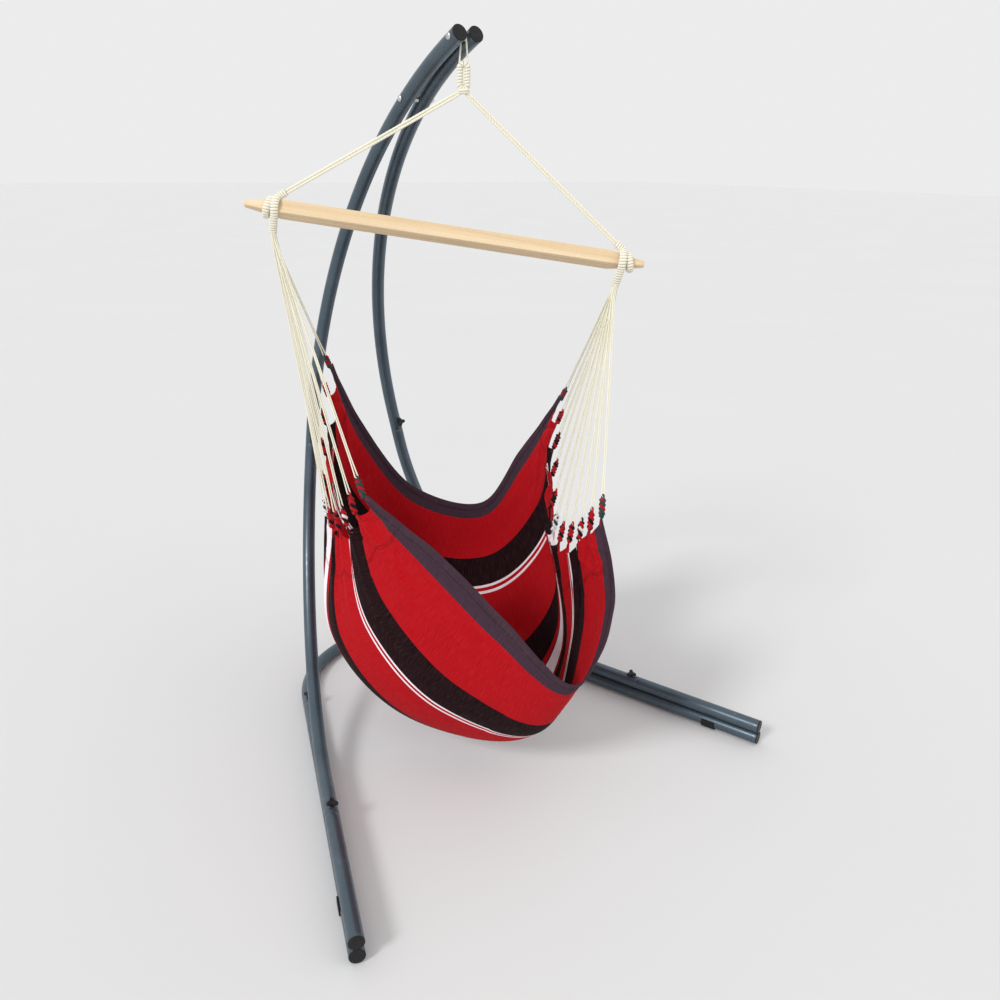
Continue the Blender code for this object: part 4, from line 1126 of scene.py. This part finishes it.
def stitch_base(along):
    """Half the thickness under a stitch: the hem's near the hems, otherwise the sheet's."""
    in_hem = min(along.mean(), 1 - along.mean()) < HEM_WIDTH / FLAT_ALONG
    return HEM_HALF_THICKNESS if in_hem else CLOTH_THICKNESS / 2


def stitching():
    shape = Shape()
    across = np.linspace(0.004, 0.996, 600)
    for edge_along, inward in ((0.0, 1), (1.0, -1)):
        along = np.full(len(across), edge_along + inward * HEM_STITCH_SHARE * HEM_WIDTH / FLAT_ALONG)
        stitch_row(shape, along, across)
    along = np.linspace(0.03, 0.97, 500)
    rib = np.interp(along, RIB_ALONGS, RIB_LENGTHS)
    for hand in (-1, 1):
        for width in (BAND_WIDTH, BAND_WIDTH + BAND_STITCH_GAP):
            share = width / rib
            stitch_row(shape, along, share if hand < 0 else 1 - share)
    settle(shape.build("seat_stitching", [THREAD], 60), "seat", "cloth")


# ---------------------------------------------------------------- loops and strings
LOOP_COLOURS = (
    ("green", "red", "green"), ("red", "black", "red"), ("black", "red", "black"), ("red", "black", "red"),
    ("red", "black", "black"), ("white", "green", "white"), ("red", "black", "red"), ("red", "black", "red"),
    ("black", "red", "white"), ("red", "red", "black"), ("green", "red", "green"),
)
BRAID_RADIUS = 0.0047
BRAID_HALF_WIDTH = 0.0054
BRAID_HALF_DEPTH = 0.0036
BRAID_PITCH = 0.036
BRAID_END = 0.053
LOOP_RING_RADIUS = 0.0070
LOOP_RING_YARN = 0.0024
BRAID_START = 0.004
COLLAR_RADIUS = 0.0072
COLLAR_SWELL = 0.0012
GATHER_YARNS = 7
GATHER_YARN_RADIUS = 0.0012
GATHER_SPREAD = 0.12
GATHER_INSET = 0.010


def loop_frame(number, hand):
    """Where loop `number` leaves the cloth, its direction to the strings, and its wide and thick axes."""
    edge = np.array([0.0 if hand < 0 else 1.0] * 2)
    cells = np.array([3 * number, 3 * number + 1]) / CELLS_ALONG
    root = smooth_cloth(cells, edge).mean(0)
    knot = hang_place(hand) + (SHANK_END + 0.013) * shank_direction(hand)
    direction = unit(knot - root)
    edge_run = np.diff(smooth_cloth(cells, edge), axis=0)[0]
    wide = unit(edge_run - (edge_run @ direction) * direction)
    return root, direction, wide, np.cross(direction, wide)


def braided_loop(shape, number, hand):
    """Three bunches of yarn braided together, closed in a ring for the string, gathered from the cloth."""
    root, direction, wide, thick = loop_frame(number, hand)
    colours = [YARN_ORDER.index(colour) for colour in LOOP_COLOURS[number]]
    run = np.linspace(BRAID_START, BRAID_END, 60)
    for strand, look in enumerate(colours):
        phase = 2 * math.pi * (run / BRAID_PITCH + strand / 3 + 0.21 * number)
        tight = np.clip((run - BRAID_START) / 0.012, 0, 1)
        aside = BRAID_HALF_WIDTH * np.sin(phase) * (0.6 + 0.4 * tight)
        deep = BRAID_HALF_DEPTH * np.sin(2 * phase)
        path = root + run[:, None] * direction + aside[:, None] * wide + deep[:, None] * thick
        cord_tube(shape, path, wide + 0.3 * thick, BRAID_RADIUS, 10, 0.0, look)
    centre = root + (LOOP_LENGTH - LOOP_RING_RADIUS) * direction
    angles = np.linspace(0, 2 * math.pi, 40)
    ring = centre + LOOP_RING_RADIUS * (np.cos(angles)[:, None] * direction + np.sin(angles)[:, None] * wide)
    third = len(ring) // 3
    for part, look in enumerate(colours):
        piece = ring[part * third: (part + 1) * third + 2]
        cord_tube(shape, piece, thick, LOOP_RING_YARN, 12, 0.0, look)
    collar = root + np.linspace(BRAID_END - 0.007, BRAID_END - 0.001, 8)[:, None] * direction
    points, uv = whipping(collar, wide)
    shape.grid(points, uv, True, False, True, colours[1])
    gathers(shape, number, hand, root, direction, wide, colours)


def whipping(path, wide):
    """The whipping that closes the ring of a braided loop."""
    sides = 16
    angles = round_angles(sides)

    def section(run):
        swell = COLLAR_RADIUS + COLLAR_SWELL * np.sin(math.pi * run / run[-1])
        return swell * np.cos(angles) * 1.15, swell * np.sin(angles) * 0.8, angles[None]

    points, run, row = sweep(path, wide, section)
    return points, section_uv(run, row, 0.005)


def gathers(shape, number, hand, root, direction, wide, colours):
    """Yarns drawn from a stretch of the cloth's edge into the foot of the braid."""
    own_along = FIRST_LOOP + number * LOOP_PITCH
    edge_share = 0.0 if hand < 0 else 1.0
    for place in np.linspace(-GATHER_SPREAD, GATHER_SPREAD, GATHER_YARNS):
        along = own_along + place * LOOP_PITCH
        if not 0.004 < along < 0.996:
            continue
        start = cloth(np.array([along]), np.array([edge_share - hand * GATHER_INSET]))[0][0]
        edge = cloth(np.array([along]), np.array([edge_share]))[0][0]
        end = root + 0.010 * direction + place * 0.030 * wide
        path = eased([start, edge, (edge + end) / 2, end], 0.002, 4)
        look = colours[int(abs(place) * 22) % 3]
        cord_tube(shape, path, np.cross(direction, wide), GATHER_YARN_RADIUS, 7, 0.0, look)


def seat_loops(side, hand):
    shape = Shape()
    for number in range(LOOPS_PER_SIDE):
        braided_loop(shape, number, hand)
    settle(shape.build(f"braided_loops_{side}", list(YARN.values()), 60), "seat", "cloth")


def seat_strings(side, hand):
    """Eleven doubled strings, each from the binding through its braided loop and back."""
    foot = string_root(hand)
    down = shank_direction(hand)
    frames = [loop_frame(number, hand) for number in range(LOOPS_PER_SIDE)]
    tips = [root + LOOP_LENGTH * direction for root, direction, _, _ in frames]
    aside = [tip - foot - ((tip - foot) @ down) * down for tip in tips]
    widest = max(np.linalg.norm(offset) for offset in aside)
    layer = unit(np.cross(down, aside[0] - aside[-1]))
    for number, (tip, (_, direction, wide, thick)) in enumerate(zip(tips, frames)):
        in_bundle = STRING_SPREAD * aside[number] / widest + (number % 3 - 1) * STRING_LAYER * layer
        legs = []
        for sign in (1, -1):
            pair = sign * STRING_RADIUS * 1.03 * thick
            lead = foot + STRING_BUNDLE * down + 1.2 * in_bundle + pair
            top = tip + sign * HAIRPIN_RADIUS * thick
            narrow = tip + 0.05 * (lead - tip) / np.linalg.norm(lead - tip) + 1.2 * pair
            tucked = foot - STRING_TUCK * down + in_bundle + pair
            legs.append(eased([tucked, foot + in_bundle + pair, lead, narrow, top], 0.005, 6))
        angles = np.linspace(0, math.pi, 15)[1:-1, None]
        hairpin = tip + HAIRPIN_RADIUS * (np.cos(angles) * thick - np.sin(angles) * direction)
        path = np.concatenate([legs[0], hairpin, legs[1][::-1]])
        shape = Shape()
        cord_tube(shape, path, wide, STRING_RADIUS, 10)
        string = settle(shape.build(f"string_{side}_{number + 1}", [STRING_COTTON]), "seat", "cord",
                        f"string_fan_{side}")


def string_knots(side, hand):
    """Small overhand knots on a few strings just under the binding."""
    foot = string_root(hand)
    down = shank_direction(hand)
    frames = [loop_frame(number, hand) for number in range(LOOPS_PER_SIDE)]
    shape = Shape()
    turn = np.linspace(0, 2 * math.pi, 70)[:-1, None]
    for number, distance in ((1, 0.050), (4, 0.034), (6, 0.066), (9, 0.045)):
        root, direction, wide, thick = frames[number]
        tip = root + LOOP_LENGTH * direction
        lead = foot + STRING_BUNDLE * down + STRING_SPREAD * unit(tip - foot - ((tip - foot) @ down) * down)
        along_string = unit(tip - lead)
        centre = lead + distance * along_string
        first = unit(np.cross(along_string, AHEAD))
        second = np.cross(along_string, first)
        trefoil = (np.sin(turn) + 2 * np.sin(2 * turn)) * first
        trefoil = trefoil + (np.cos(turn) - 2 * np.cos(2 * turn)) * second
        path = centre + KNOT_SIZE * (trefoil - 1.2 * np.sin(3 * turn) * along_string)
        cord_tube(shape, path, along_string + 0.1 * first, KNOT_SIZE, 8, closed=True)
    settle(shape.build(f"string_knots_{side}", [STRING_COTTON]), "seat", "cord")


# ---------------------------------------------------------------- camera, light and floor
CAMERA_PLACE = (-1.4018, -2.1224, 1.7884)
CAMERA_RIGHT = (0.8069, -0.5906, 0.0148)
CAMERA_UP = (0.2021, 0.2995, 0.9324)
CAMERA_BACK = (-0.5551, -0.7493, 0.3611)
CAMERA_LENS = 31.705
CAMERA_SENSOR = 36.0
STUDIO_GLOW = 0.84


def make_camera():
    data = bpy.data.cameras.new("camera")
    data.lens = CAMERA_LENS
    data.sensor_width = CAMERA_SENSOR
    camera = linked("camera", data)
    columns = zip(CAMERA_RIGHT, CAMERA_UP, CAMERA_BACK, CAMERA_PLACE)
    camera.matrix_world = Matrix([tuple(row) for row in columns] + [(0, 0, 0, 1)])
    bpy.context.scene.camera = camera


def soft_sun(name, direction, strength, softness):
    """A broad even light from `direction`, which points from the object to the light."""
    data = bpy.data.lights.new(name, "SUN")
    data.energy = strength
    data.angle = math.radians(softness)
    linked(name, data).rotation_euler = Vector(direction).to_track_quat("Z", "Y").to_euler()


def make_studio():
    world = bpy.data.worlds.new("studio")
    bpy.context.scene.world = world
    world.use_nodes = True
    background = world.node_tree.nodes["Background"]
    background.inputs["Color"].default_value = (1.0, 1.0, 1.0, 1.0)
    background.inputs["Strength"].default_value = STUDIO_GLOW
    soft_sun("key", (-1.1, -0.22, 0.85), 1.5, 14)
    soft_sun("fill", (0.9, -1.2, 0.6), 0.25, 60)
    floor = bpy.data.meshes.new("floor")
    reach = 60.0
    floor.from_pydata([(-reach, -reach, 0), (reach, -reach, 0), (reach, reach, 0), (-reach, reach, 0)], [],
                      [(0, 1, 2, 3)])
    floor.materials.append(pale_floor())
    linked("floor", floor)
    bpy.context.scene.view_settings.view_transform = "Standard"


# ---------------------------------------------------------------- everything in order
make_camera()
hanging_cord()
bound_eye()
for side, hand in SIDES:
    rope_foot, rope_direction = ropes(side, hand)
    bar_ring(side, hand)
    hitch(side, hand, rope_foot, rope_direction)
    seat_strings(side, hand)
    string_knots(side, hand)
    seat_loops(side, hand)
make_bar()
make_stand()
make_knobs()
sheet = seat_sheet()
hems = [hem("hem_back", 0.0, 1), hem("hem_front", 1.0, -1)]
stitching()
make_studio()

bpy.context.view_layer.update()
